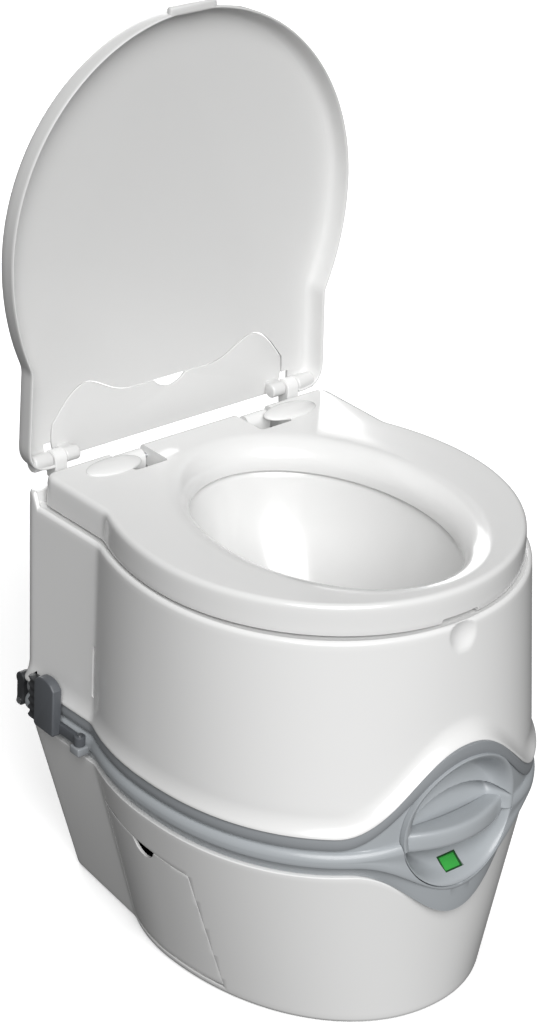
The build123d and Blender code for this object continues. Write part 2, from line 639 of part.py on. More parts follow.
bowl_lip = extrude(ellipse_face((BOWL_RIM[0] + 13, BOWL_RIM[1] + 13), Plane((0, BOWL_Y, ROOF))), amount=1.5)
with BuildPart() as bowl:
    add(bowl_outside & block(-200, 200, -200, 200, 209, ROOF))
    add(bowl_lip)
    add(bowl_solid(0), mode=Mode.SUBTRACT)
finish(bowl, "bowl")

# ---- Hinges -------------------------------------------------------------------------------------
seat_y, seat_z = SEAT_AXIS
lid_y, lid_z = LID_AXIS
with BuildPart() as seat_brackets:
    for side in (-1, 1):
        low_x, high_x = sorted(side * edge for edge in SEAT_BRACKET_X)
        add(block(low_x, high_x, seat_y - 8, LEDGE_FRONT_Y, ROOF, seat_z))
        add(rod(8.0, low_x, high_x, seat_y, seat_z))
        add(rod(SEAT_PIN_R, low_x - 1, high_x + 1, seat_y, seat_z), mode=Mode.SUBTRACT)
finish(seat_brackets, "seat_brackets")

with BuildPart() as seat_pins:
    for side in (-1, 1):
        low_x, high_x = sorted((side * 48.0, side * 103.0))
        add(rod(SEAT_PIN_R, low_x, high_x, seat_y, seat_z))
finish(seat_pins, "seat_pins")

with BuildPart() as lid_brackets:
    for side in (-1, 1):
        low_x, high_x = sorted(side * edge for edge in LID_BRACKET_X)
        add(block(low_x, high_x, lid_y - 8.5, lid_y - 2.5, LEDGE_TOP, lid_z))
        add(block(low_x, high_x, lid_y - 8.5, lid_y + 6, LEDGE_TOP + GAP, lid_z))
        add(rod(8.5, low_x, high_x, lid_y, lid_z))
        add(rod(LID_PIN_R, low_x - 1, high_x + 1, lid_y, lid_z), mode=Mode.SUBTRACT)
finish(lid_brackets, "lid_brackets")

with BuildPart() as lid_pins:
    for side in (-1, 1):
        low_x, high_x = sorted((side * 118.0, side * 167.0))
        add(rod(LID_PIN_R, low_x, high_x, lid_y, lid_z))
finish(lid_pins, "lid_pins")

# ---- Seat ---------------------------------------------------------------------------------------
bumper_places = [(-150, 0), (150, 0), (-104, -112), (104, -112)]


def seat_hole(extra):
    """The seat's opening grown by extra: an upright oval throat and a funnel above it."""
    rings = ((SEAT_HOLE, SEAT_BASE - 1), (SEAT_HOLE, SEAT_HEIGHT - 11), (SEAT_FUNNEL, SEAT_HEIGHT))
    faces = []
    for radii, z in rings:
        faces.append(ellipse_face([size + extra for size in radii], Plane((0, BOWL_Y, z))))
    return loft(faces[:2], mode=Mode.PRIVATE) + loft(faces[1:], mode=Mode.PRIVATE)


ring_room = tapered(grown(SEAT_FOOT, -4), SEAT_BASE - 1, grown(SEAT_TOP, -4), SEAT_HEIGHT - 4)
ring_room -= extrude(ellipse_face((SEAT_FUNNEL[0] + 2, SEAT_FUNNEL[1]), Plane((0, BOWL_Y, 400))), amount=50)
ring_room -= block(-200, 200, SEAT_NOTCH_Y - 8, 230, 390, 450)
with BuildPart() as seat:
    add(tapered(SEAT_FOOT, SEAT_BASE, SEAT_TOP, SEAT_HEIGHT))
    fillet(seat.faces().sort_by(Axis.Z)[-1].edges(), 5)
    add(seat_hole(0), mode=Mode.SUBTRACT)
    add(ring_room, mode=Mode.SUBTRACT)
    for side in (-1, 1):
        low_x, high_x = sorted(side * edge for edge in SEAT_NOTCH_X)
        add(block(low_x, high_x, SEAT_NOTCH_Y, 230, 400, 450), mode=Mode.SUBTRACT)
    for pad_x, pad_y in bumper_places:
        add(post(6.0, pad_x, pad_y, SEAT_BASE, SEAT_HEIGHT - 2))
    add(block(-160, 160, 175, 230, 400, 418), mode=Mode.SUBTRACT)
    add(block(-21.5, 21.5, -200, -150, 400, 413), mode=Mode.SUBTRACT)
    add(rod(SEAT_PIN_R + RUNNING, -104, 104, seat_y, seat_z), mode=Mode.SUBTRACT)
    add(block(-47, 47, seat_y - 4, seat_y + 4, seat_z - 4, seat_z - 1), mode=Mode.SUBTRACT)
finish(seat, "seat")

with BuildPart() as hinge_covers:
    for side in (-1, 1):
        with BuildSketch(Plane((side * 115, 181, SEAT_HEIGHT), x_dir=(1, 0, 0), z_dir=(0, 0, 1))):
            Ellipse(29, 13)
        extrude(amount=4.5, taper=25)
finish(hinge_covers, "hinge_covers")

with BuildPart() as seat_bumpers:
    for pad_x, pad_y in bumper_places:
        add(post(5.5, pad_x, pad_y, ROOF + GAP, SEAT_BASE))
finish(seat_bumpers, "seat_bumpers")

# ---- Lid and its flap ---------------------------------------------------------------------------
# The lid's own frame is that of the closed lid, turned up about the hinge: y to the hinge, z outwards.
lean = radians(LID_LEAN)
lid_plane = Plane((0, lid_y, lid_z), x_dir=(1, 0, 0), z_dir=(0, cos(lean), -sin(lean)))
FLAP_HALF = 137.0
FLAP_LOW = 18.0
FLAP_KNUCKLE_X = (119.0, 132.0)
lid_shoulder = section(grown(LID, -1), lid_plane.offset(LID_CREST - 5))
lid_outside = loft([section(LID, lid_plane.offset(LID_RIM)), lid_shoulder])
lid_outside += loft([lid_shoulder, section(grown(LID, -6), lid_plane.offset(LID_CREST))])
lid_inside = loft(
    [
        section(grown(LID, -WALL), lid_plane.offset(LID_RIM - 1)),
        section(grown(LID, -WALL - 6), lid_plane.offset(LID_CREST - WALL)),
    ]
)


def flap_face(margin):
    """The flap's wavy outline, grown by margin, in the lid's frame."""
    half = FLAP_HALF + margin
    shoulder = (half, -28)
    crest = [(34, -42 - margin), (62, -45 - margin), (99, -61 - margin)]
    low = FLAP_LOW + margin
    with BuildSketch(lid_plane.offset(LID_CREST - WALL)) as face:
        with BuildLine():
            knots = [(-x, y) for x, y in reversed([*crest, shoulder])]
            knots += [(0, -42 - margin), *crest, shoulder]
            Spline(*knots)
            foot = 112 + margin
            Polyline(shoulder, (half, 8), (foot, low), (-foot, low), (-half, 8), (-half, -28))
        make_face()
    return face.sketch


hinge_room = lid_plane * block(0.5 - LID_EAR_X[0], LID_EAR_X[0] - 0.5, -11, 19, LID_RIM - 8, LID_CREST + 12)
lid_shell = lid_outside - lid_inside - hinge_room
lid_shell -= extrude(flap_face(1.0), amount=8, both=True)
with BuildPart() as lid:
    add(lid_shell)
    for side in (-1, 1):
        low_x, high_x = sorted(side * edge for edge in LID_EAR_X)
        add(rod(8.0, low_x, high_x, lid_y, lid_z))
        add(rod(LID_PIN_R + RUNNING, low_x - 1, high_x + 1, lid_y, lid_z), mode=Mode.SUBTRACT)
    with BuildSketch(lid_plane.offset(LID_RIM)):
        with Locations((0, LID.front_y)):
            Rectangle(53, 9)
    extrude(amount=7)
finish(lid, "lid")

with BuildPart() as lid_flap:
    add(extrude(flap_face(0), amount=WALL, mode=Mode.PRIVATE))
    with BuildSketch(lid_plane.offset(LID_CREST - WALL - 2)):
        with Locations((0, -56)):
            Circle(24)
    extrude(amount=10, mode=Mode.SUBTRACT)
    for side in (-1, 1):
        low_x, high_x = sorted(side * edge for edge in FLAP_KNUCKLE_X)
        add(lid_plane * rod(7.0, low_x, high_x, 0, 0))
        add(lid_plane * block(low_x, high_x, -6.5, 6.5, 0, LID_CREST - 1))
        add(lid_plane * rod(LID_PIN_R + RUNNING, low_x - 1, high_x + 1, 0, 0), mode=Mode.SUBTRACT)
finish(lid_flap, "lid_flap")

# ---- Water filler -------------------------------------------------------------------------------
with BuildPart() as filler_cap:
    with BuildSketch(neck_plane.offset(14)):
        Circle(FILLER_R + 3)
    extrude(amount=14)
    fillet(filler_cap.faces().sort_by(Axis(neck_plane.origin, neck_plane.z_dir))[-1].edges(), 2.5)
    with BuildSketch(neck_plane.offset(14)):
        Circle(FILLER_R + RUNNING)
    extrude(amount=11, mode=Mode.SUBTRACT)
    with BuildSketch(neck_plane.offset(14)):
        with PolarLocations(FILLER_R + 3.5, 20):
            Circle(1.2)
    extrude(amount=11, mode=Mode.SUBTRACT)
finish(filler_cap, "filler_cap")

with BuildPart() as filler_gasket:
    with BuildSketch(neck_plane.offset(24 + 0.3)):
        Circle(FILLER_R - 0.5)
        Circle(FILLER_R - WALL, mode=Mode.SUBTRACT)
    extrude(amount=0.7)
finish(filler_gasket, "filler_gasket")

# ---- Electric flush -----------------------------------------------------------------------------
side_wall_x = 171.0
with BuildPart() as control_panel:
    add(block(side_wall_x, 178.2, 148, 190, 340, 392))
    fillet(control_panel.edges().filter_by(Axis.X), 8)
    fillet(control_panel.faces().sort_by(Axis.X)[-1].edges(), 1.5)
    add(tapered(NECK, FLARE_TOP, TOP, ROOF), mode=Mode.SUBTRACT)
    add(rod(9.6, 160, 190, BUTTON_Y, BUTTON_Z), mode=Mode.SUBTRACT)
finish(control_panel, "control_panel")

with BuildPart() as flush_button:
    add(rod(9.0, 176.3, 181.7, BUTTON_Y, BUTTON_Z))
    fillet(flush_button.edges().sort_by(Axis.X)[-1], 2)
    add(tapered(NECK, FLARE_TOP, TOP, ROOF), mode=Mode.SUBTRACT)
finish(flush_button, "flush_button")

with BuildPart() as flush_switch:
    add(block(160, 170.0, BUTTON_Y - 9, BUTTON_Y + 9, BUTTON_Z - 9, BUTTON_Z + 9))
finish(flush_switch, "flush_switch")

pump_x, pump_y = PUMP
with BuildPart() as pump:
    add(post(19, pump_x, pump_y, LIP + WALL, 276))
    fillet(pump.edges().sort_by(Axis.Z)[-1], 4)
    add(post(5.0, pump_x, pump_y, 276, 286))
finish(pump, "pump")

PIPE_R = 4.0
with BuildPart() as flush_pipe:
    with BuildLine() as pipe_line:
        FilletPolyline(
            (pump_x, pump_y, 286), (pump_x, pump_y, 386), (pump_x + 24, pump_y - 40, 394), radius=18
        )
    with BuildSketch(Plane(origin=pipe_line.line @ 0, z_dir=pipe_line.line % 0)):
        Circle(PIPE_R)
        Circle(PIPE_R - 1.2, mode=Mode.SUBTRACT)
    sweep()
finish(flush_pipe, "flush_pipe")

with BuildPart() as battery_box:
    add(block(-62, 0, 176, 219, 300, 336))
    add(block(-60, -2, 178, 230, 302, 334), mode=Mode.SUBTRACT)
finish(battery_box, "battery_box")

CELL_R = 7.1
with BuildPart() as batteries:
    for row in range(2):
        for column in range(2):
            add(rod(CELL_R, -56, -6, 186 + 15 * column, 310.5 + 15 * row))
finish(batteries, "batteries")

with BuildPart() as battery_cover:
    add(block(-66, 4, 219.2, 224, 296, 340))
    fillet(battery_cover.edges().filter_by(Axis.Y), 5)
    add(tapered(NECK, FLARE_TOP, TOP, ROOF), mode=Mode.SUBTRACT)
finish(battery_cover, "battery_cover")
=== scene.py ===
"""Portable camp toilet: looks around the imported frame. Shapes are in millimetres, objects in metres."""

import json
from math import cos, pi, radians, sin, sqrt
from typing import NamedTuple

import bmesh
import bpy
import numpy as np
from mathutils import Matrix, Vector


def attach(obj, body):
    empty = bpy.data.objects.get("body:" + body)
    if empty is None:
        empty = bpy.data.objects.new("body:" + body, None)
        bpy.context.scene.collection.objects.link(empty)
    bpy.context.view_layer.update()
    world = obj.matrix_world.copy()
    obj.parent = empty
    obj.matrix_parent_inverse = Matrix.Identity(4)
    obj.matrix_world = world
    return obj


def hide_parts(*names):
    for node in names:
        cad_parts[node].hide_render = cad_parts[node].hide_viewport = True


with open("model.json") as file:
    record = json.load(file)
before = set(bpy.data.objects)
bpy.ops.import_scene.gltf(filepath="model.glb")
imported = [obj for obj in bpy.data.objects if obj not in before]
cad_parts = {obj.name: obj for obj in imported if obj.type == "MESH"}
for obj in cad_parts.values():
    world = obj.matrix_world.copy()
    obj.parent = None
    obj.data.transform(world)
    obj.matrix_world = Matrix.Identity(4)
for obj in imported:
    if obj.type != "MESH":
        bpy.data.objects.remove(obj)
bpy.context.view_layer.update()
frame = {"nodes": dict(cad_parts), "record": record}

MM = 0.001


class Outline(NamedTuple):
    """Plan outline: straight rear and rear sides, a crease, then rounded flanks and front."""

    rear_half: float
    crease_half: float
    rear_y: float
    crease_y: float
    half: float
    centre_y: float
    front_y: float
    fullness: float = 2.0  # 2 makes the front an ellipse, more makes it fuller


# ---- Driving dimensions, millimetres, the same as the frame's ----
BASE = Outline(122.9, 135.4, 203.4, 87.9, 151.1, 15.8, -183.7, 2.1)
BAND = Outline(174, 174, 214, 110, 191, 17, -198, 2.25)
FLANGE = Outline(181, 178.5, 222, 113, 198, 17, -205, 2.25)
NECK = Outline(176, 174, 219, 113, 194, 17, -194, 2.25)
TOP = Outline(176.5, 174.5, 222, 113, 191.5, 17.5, -180, 2.08)
SEAT_FOOT = Outline(169.5, 168.7, 206, 113, 188.2, 17.5, -176.2)
SEAT_TOP = Outline(168.5, 167.7, 206, 113, 187.2, 17.5, -175.2)
LID = Outline(177.5, 174.5, 6, -95, 197, -200.6, -406.5)

LOWER_TOP = 176.0
SPLIT = 206.0
LIP = 219.0
FLARE_TOP = 243.0
ROOF = 405.0
LEDGE_TOP = 418.0
LEDGE_FRONT = 209.5
SEAT_BASE = 407.5
SEAT_HEIGHT = 437.0
LOWER_SWELL = (-57.0, 105.0, 1.0)  # rise, half width, exponent
UPPER_SWELL = (72.0, 122.0, 1.146)
RIDGE_SWELL = (-45.0, 105.0, 1.0)
SCOOP_Y = -152.0
ARCH_Y = -132.0
WALL = 3.0
BOWL_Y = 5.0
SEAT_HOLE = (107.0, 144.0)
EYE_Z = 214.5
EYE_HALF = (66.0, 64.5)  # half width and half height of the grip recess
LID_AXIS = (224.0, 438.0)
LID_LEAN = radians(0.69)
LID_CORNER = 26.0

# ---- Mesh helpers ----


def grown(shape, amount):
    """The outline moved outwards by amount all round."""
    return Outline(
        shape.rear_half + amount,
        shape.crease_half + amount,
        shape.rear_y + amount,
        shape.crease_y,
        shape.half + amount,
        shape.centre_y,
        shape.front_y - amount,
        shape.fullness,
    )


def bezier(start, control, end, steps):
    """Points of a quadratic curve, without its end."""
    t = np.arange(steps)[:, None] / steps
    return (1 - t) ** 2 * start + 2 * t * (1 - t) * control + t**2 * end


def straight(start, end, steps):
    """Points of a line, without its end."""
    t = np.arange(steps)[:, None] / steps
    return start + (end - start) * t


def plan(shape, corner=14.0, crease=5.0):
    """The outline as a closed loop of points from the rear's middle, always with the same count."""
    rise = shape.crease_y - shape.centre_y
    back = rise / sqrt(1 - (shape.crease_half / shape.half) ** 2)
    turn = np.arcsin(rise / back)
    rear = np.array([shape.rear_half, shape.rear_y])
    fold = np.array([shape.crease_half, shape.crease_y])
    side = (fold - rear) / np.linalg.norm(fold - rear)
    speed = sqrt((shape.half * sin(turn)) ** 2 + (back * cos(turn)) ** 2)
    start_turn = turn - crease / speed

    def flank(angle):
        return np.stack([shape.half * np.cos(angle), shape.centre_y + back * np.sin(angle)], -1)

    depth = shape.centre_y - shape.front_y
    wide = np.linspace(0, radians(70), 40, endpoint=False)
    near = np.linspace(radians(70), pi / 2, 47)
    front = np.concatenate([wide, near])
    across = np.clip(np.cos(front), 0, 1) ** (2 / shape.fullness)
    along = np.sin(front) ** (2 / shape.fullness)
    half_loop = np.concatenate([
        straight(np.array([0.0, shape.rear_y]), rear - [corner, 0], 60),
        bezier(rear - [corner, 0], rear, rear + side * corner, 12),
        straight(rear + side * corner, fold - side * crease, 20),
        bezier(fold - side * crease, fold, flank(start_turn), 8),
        flank(np.linspace(start_turn, 0, 30, endpoint=False)),
        np.stack([shape.half * across, shape.centre_y - depth * along], -1),
    ])
    half_loop[-1, 0] = 0.0
    other = half_loop[1:-1][::-1] * [-1, 1]
    return np.concatenate([half_loop, other])


def ring(points, z):
    """Plan points at a height, which may be one number or one for each point."""
    return np.column_stack([points, np.broadcast_to(z, len(points))])


def oval_like(points, radii, centre_y=BOWL_Y):
    """The oval's point that lies in the same direction as each plan point."""
    angle = np.arctan2((points[:, 1] - centre_y) / radii[1], points[:, 0] / radii[0])
    return np.column_stack([radii[0] * np.cos(angle), centre_y + radii[1] * np.sin(angle)])


def swell(points, swell_shape):
    """How far an edge rises at each plan point, by the swell round the front grip."""
    rise, half, power = swell_shape
    share = np.clip(np.abs(points[:, 0]) / half, 0, 1) ** power
    bump = 0.5 * (1 + np.cos(pi * share))
    return np.where(points[:, 1] < 0, rise * bump, 0.0)


def smooth(value, low, high):
    """A smooth step from 0 at low to 1 at high."""
    t = np.clip((value - low) / (high - low), 0, 1)
    return t * t * (3 - 2 * t)


def inward(points, amount):
    """Plan points moved towards the inside by amount along the loop's normals."""
    ahead_points = np.roll(points, -1, axis=0) - np.roll(points, 1, axis=0)
    normal = np.column_stack([ahead_points[:, 1], -ahead_points[:, 0]])
    normal /= np.linalg.norm(normal, axis=1)[:, None]
    return points + normal * np.asarray(amount).reshape(-1, 1)


def spline(knots, steps):
    """A natural cubic curve through the knots."""
    knots = np.asarray(knots, float)
    gap = np.linalg.norm(np.diff(knots, axis=0), axis=1)
    place = np.concatenate([[0], np.cumsum(gap)])
    count = len(knots)
    system = np.eye(count)
    target = np.zeros(knots.shape)
    for i in range(1, count - 1):
        system[i, i - 1:i + 2] = gap[i - 1], 2 * (gap[i - 1] + gap[i]), gap[i]
        target[i] = 6 * ((knots[i + 1] - knots[i]) / gap[i] - (knots[i] - knots[i - 1]) / gap[i - 1])
    bend = np.linalg.solve(system, target)
    at = np.linspace(0, place[-1], steps)
    i = np.clip(np.searchsorted(place, at, side="right") - 1, 0, count - 2)
    h = gap[i][:, None]
    t = (at - place[i])[:, None]
    slope = (knots[i + 1] - knots[i]) / h - h * (2 * bend[i] + bend[i + 1]) / 6
    return knots[i] + slope * t + bend[i] / 2 * t**2 + (bend[i + 1] - bend[i]) / (6 * h) * t**3


def circle_points(centre, radius, steps=48):
    """Points round a circle, as (a, b) pairs."""
    angles = [2 * pi * k / steps for k in range(steps)]
    return [(centre[0] + radius * cos(angle), centre[1] + radius * sin(angle)) for angle in angles]


def span(side, near, far):
    """Low and high x between two distances from the middle."""
    return sorted((side * near, side * far))


def sweep_x(a, b, x):
    """Places a side view's point (y, z) at x."""
    return x, a, b


def sweep_y(a, b, y):
    """Places a front view's point (x, z) at y."""
    return a, y, b


def loft_mesh(rings, around=False, cap_first=False, cap_last=False):
    """Vertices and faces through rings of equal count; around joins the last ring to the first."""
    count = len(rings[0])
    verts = np.concatenate(rings)
    index = np.arange(count)
    following = np.roll(index, -1)
    faces = []
    pairs = list(zip(range(len(rings) - 1), range(1, len(rings))))
    if around:
        pairs.append((len(rings) - 1, 0))
    for a, b in pairs:
        corners = [a * count + index, a * count + following, b * count + following, b * count + index]
        faces += np.column_stack(corners).tolist()
    if cap_first:
        faces.append(index[::-1].tolist())
    if cap_last:
        faces.append((index + (len(rings) - 1) * count).tolist())
    return verts, faces


def new_mesh(name, verts, faces):
    """A clean closed mesh in metres from millimetre vertices."""
    mesh = bpy.data.meshes.new(name)
    mesh.from_pydata((np.asarray(verts, float) * MM).tolist(), [], faces)
    work = bmesh.new()
    work.from_mesh(mesh)
    bmesh.ops.remove_doubles(work, verts=work.verts, dist=2e-6)
    bmesh.ops.dissolve_degenerate(work, edges=work.edges, dist=1e-6)
    bmesh.ops.recalc_face_normals(work, faces=work.faces)
    work.to_mesh(mesh)
    work.free()
    return mesh


def new_object(name, verts, faces):
    obj = bpy.data.objects.new(name, new_mesh(name, verts, faces))
    bpy.context.collection.objects.link(obj)
    return obj


def bake_modifiers(obj):
    """Replaces the object's mesh by its mesh after modifiers."""
    bpy.context.view_layer.update()
    done = obj.evaluated_get(bpy.context.evaluated_depsgraph_get())
    mesh = bpy.data.meshes.new_from_object(done)
    obj.modifiers.clear()
    obj.data = mesh


def carve(obj, cutter, operation="DIFFERENCE"):
    """One exact boolean, applied, with the cutter removed."""
    cut = obj.modifiers.new("cut", "BOOLEAN")
    cut.operation = operation
    cut.solver = "EXACT"
    cut.object = cutter
    bake_modifiers(obj)
    bpy.data.objects.remove(cutter)


def soften(obj, width, segments=2, angle=40):
    """Rounds the edges sharper than angle by width millimetres."""
    bevel = obj.modifiers.new("soften", "BEVEL")
    bevel.width = width * MM
    bevel.segments = segments
    bevel.limit_method = "ANGLE"
    bevel.angle_limit = radians(angle)
    bevel.use_clamp_overlap = True
    bake_modifiers(obj)


def settle(obj, body, material, replaces=(), sharp=32):
    """Gives a piece its shading, material and body, and hides the parts it replaces."""
    obj.data.shade_smooth()
    obj.data.set_sharp_from_angle(angle=radians(sharp))
    obj.data.materials.clear()
    obj.data.materials.append(material)
    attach(obj, body)
    if replaces:
        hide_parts(*replaces)
    return obj


def box_object(name, x0, x1, y0, y1, z0, z1):
    corners = [(x, y, z) for x in (x0, x1) for y in (y0, y1) for z in (z0, z1)]
    faces = [(0, 1, 3, 2), (4, 6, 7, 5), (0, 4, 5, 1), (2, 3, 7, 6), (0, 2, 6, 4), (1, 5, 7, 3)]
    return new_object(name, corners, faces)


def prism_object(name, outline, place, low, high):
    """A flat outline swept from low to high; place turns (a, b, sweep) into (x, y, z)."""
    rings = [np.array([place(a, b, height) for a, b in outline]) for height in (low, high)]
    return new_object(name, *loft_mesh(rings, cap_first=True, cap_last=True))


def lathe(profile, origin, axis, steps=64):
    """Vertices and faces of a turned solid; profile is (radius, distance along the axis) points."""
    axis = Vector(axis).normalized()
    side = axis.orthogonal().normalized()
    up = axis.cross(side)
    rings = []
    for radius, along in profile:
        loop = []
        for step in range(steps):
            angle = 2 * pi * step / steps
            loop.append(Vector(origin) + axis * along + (side * cos(angle) + up * sin(angle)) * radius)
        rings.append(np.array(loop))
    return loft_mesh(rings, cap_first=True, cap_last=True)


def pin_profile(radius, low, high, edge):
    """A turned rod's profile with rounded ends."""
    steps = [0.0, 0.3, 0.6, 0.85, 1.0]
    rise = [(radius - edge * (1 - sin(s * pi / 2)), low + edge * (1 - cos(s * pi / 2))) for s in steps]
    fall = [(radius - edge * (1 - sin(s * pi / 2)), high - edge * (1 - cos(s * pi / 2))) for s in steps[::-1]]
    return rise + fall


def joined(name, parts):
    """One object from several (verts, faces) solids."""
    verts, faces, start = [], [], 0
    for part_verts, part_faces in parts:
        verts.append(np.asarray(part_verts, float))
        faces += [[index + start for index in face] for face in part_faces]
        start += len(part_verts)
    return new_object(name, np.concatenate(verts), faces)


# ---- Materials ----


def moulded(name, color, rough, grain=0.02, grain_scale=900.0, mottle=0.03, coat=0.0, edge=0.0, wave=0.0):
    """Moulded plastic: slight colour and gloss variation, fine surface grain, rubbed edges."""
    material = bpy.data.materials.new(name)
    material.use_nodes = True
    tree = material.node_tree
    nodes, links = tree.nodes, tree.links
    shader = nodes["Principled BSDF"]
    shader.inputs["IOR"].default_value = 1.5
    shader.inputs["Coat Weight"].default_value = coat
    shader.inputs["Coat Roughness"].default_value = 0.06
    place = nodes.new("ShaderNodeTexCoord")

    broad = nodes.new("ShaderNodeTexNoise")
    broad.inputs["Scale"].default_value = 9.0
    broad.inputs["Detail"].default_value = 5.0
    links.new(place.outputs["Object"], broad.inputs["Vector"])
    tone = nodes.new("ShaderNodeMix")
    tone.data_type = "RGBA"
    tone.inputs["A"].default_value = (*[c * (1 - mottle) for c in color], 1)
    tone.inputs["B"].default_value = (*[min(1.0, c * (1 + mottle)) for c in color], 1)
    links.new(broad.outputs["Fac"], tone.inputs["Factor"])
    surface = tone.outputs["Result"]
    if edge:
        geometry = nodes.new("ShaderNodeNewGeometry")
        worn = nodes.new("ShaderNodeMapRange")
        worn.inputs["From Min"].default_value = 0.53
        worn.inputs["From Max"].default_value = 0.66
        worn.inputs["To Max"].default_value = edge
        links.new(geometry.outputs["Pointiness"], worn.inputs["Value"])
        rubbed = nodes.new("ShaderNodeMix")
        rubbed.data_type = "RGBA"
        rubbed.inputs["B"].default_value = (*[min(1.0, c * 1.7 + 0.06) for c in color], 1)
        links.new(worn.outputs["Result"], rubbed.inputs["Factor"])
        links.new(surface, rubbed.inputs["A"])
        surface = rubbed.outputs["Result"]
    links.new(surface, shader.inputs["Base Color"])

    gloss = nodes.new("ShaderNodeTexNoise")
    gloss.inputs["Scale"].default_value = 38.0
    gloss.inputs["Detail"].default_value = 4.0
    links.new(place.outputs["Object"], gloss.inputs["Vector"])
    gloss_range = nodes.new("ShaderNodeMapRange")
    gloss_range.inputs["To Min"].default_value = rough * 0.86
    gloss_range.inputs["To Max"].default_value = rough * 1.16
    links.new(gloss.outputs["Fac"], gloss_range.inputs["Value"])
    links.new(gloss_range.outputs["Result"], shader.inputs["Roughness"])

    fine = nodes.new("ShaderNodeTexNoise")
    fine.inputs["Scale"].default_value = grain_scale
    fine.inputs["Detail"].default_value = 3.0
    links.new(place.outputs["Object"], fine.inputs["Vector"])
    bump = nodes.new("ShaderNodeBump")
    bump.inputs["Strength"].default_value = grain
    bump.inputs["Distance"].default_value = 0.0004
    links.new(fine.outputs["Fac"], bump.inputs["Height"])
    if wave:
        slow = nodes.new("ShaderNodeTexNoise")
        slow.inputs["Scale"].default_value = 22.0
        slow.inputs["Detail"].default_value = 1.0
        links.new(place.outputs["Object"], slow.inputs["Vector"])
        sink = nodes.new("ShaderNodeBump")
        sink.inputs["Strength"].default_value = wave
        sink.inputs["Distance"].default_value = 0.001
        links.new(slow.outputs["Fac"], sink.inputs["Height"])
        links.new(sink.outputs["Normal"], bump.inputs["Normal"])
    links.new(bump.outputs["Normal"], shader.inputs["Normal"])
    return material


def metal(name, color, rough, scale=400.0):
    """Turned or drawn metal with fine scratches."""
    material = moulded(name, color, rough, grain=0.12, grain_scale=scale, mottle=0.05)
    material.node_tree.nodes["Principled BSDF"].inputs["Metallic"].default_value = 1.0
    return material


WHITE = moulded("white_abs", (0.83, 0.83, 0.825), 0.24, grain=0.03, mottle=0.012, coat=0.35, wave=0.035)
SEAT_WHITE = moulded(
    "seat_white_abs", (0.80, 0.80, 0.795), 0.2,
    grain=0.02, mottle=0.012, coat=0.4, wave=0.03)
LID_WHITE = moulded(
    "lid_white_abs", (0.72, 0.72, 0.715), 0.34,
    grain=0.05, grain_scale=1400.0, mottle=0.012, coat=0.15)
GREY = moulded(
    "grey_abs", (0.40, 0.425, 0.445), 0.34,
    grain=0.09, grain_scale=1300.0, mottle=0.05, coat=0.15, edge=0.35)
STRIP = moulded(
    "strip_grey_abs", (0.27, 0.285, 0.30), 0.4,
    grain=0.1, grain_scale=1300.0, mottle=0.05, edge=0.3)
LATCH = moulded(
    "latch_grey_pp", (0.095, 0.102, 0.112), 0.42,
    grain=0.16, grain_scale=1100.0, mottle=0.07, edge=0.3)
DARK = moulded(
    "dark_grip_pp", (0.035, 0.037, 0.04), 0.5,
    grain=0.25, grain_scale=1500.0, mottle=0.12, edge=0.25)
RUBBER = moulded("black_rubber", (0.016, 0.016, 0.017), 0.75, grain=0.35, grain_scale=1800.0, mottle=0.2)
NATURAL = moulded("natural_pp", (0.42, 0.44, 0.45), 0.45, grain=0.15, grain_scale=1200.0, mottle=0.06)
BOWL_WHITE = moulded(
    "bowl_white_abs", (0.74, 0.74, 0.735), 0.22,
    grain=0.02, mottle=0.012, coat=0.4, wave=0.03)
BUTTON = moulded("button_grey_abs", (0.12, 0.14, 0.17), 0.28, grain=0.05, mottle=0.05, coat=0.3, edge=0.3)
BLACK = moulded("black_nylon", (0.02, 0.02, 0.022), 0.5, grain=0.25, mottle=0.15)
HOSE = moulded("milky_tube", (0.62, 0.65, 0.66), 0.35, grain=0.08, mottle=0.04)
CELL = moulded("cell_jacket", (0.05, 0.06, 0.09), 0.3, grain=0.04, mottle=0.06, coat=0.4)
FLAG = moulded("green_flag_abs", (0.03, 0.34, 0.05), 0.4, grain=0.08, mottle=0.06)
STEEL = metal("stainless_steel", (0.62, 0.63, 0.64), 0.3)
# Dark green for the rim round the level window: painted shade for the shadow lines along the window's border,
# together with the darker edge of the thick green pane.
WINDOW_SHADE_GREEN = moulded("green_window_painted_shade", (0.012, 0.07, 0.016), 0.3, grain=0.04, mottle=0.1)
WINDOW = moulded("green_window_acrylic", (0.045, 0.36, 0.06), 0.12, grain=0.02, mottle=0.18, coat=0.6)

SLOT_MATERIALS = {
    "white_shell": WHITE, "grey_trim": GREY, "latch_grey": LATCH, "dark_grip": DARK, "black_rubber": RUBBER,
    "green_window": WINDOW, "green_flag": FLAG, "valve_plastic": NATURAL, "button_grey": BUTTON,
    "steel_pins": STEEL, "pump_black": BLACK, "hose_clear": HOSE, "cell_jacket": CELL,
}
node_slots = {row["node"]: row["material_slot"] for row in frame["record"]["subparts"]}
for node_name, node in frame["nodes"].items():
    for index in range(len(node.material_slots)):
        node.material_slots[index].material = SLOT_MATERIALS[node_slots[node_name]]

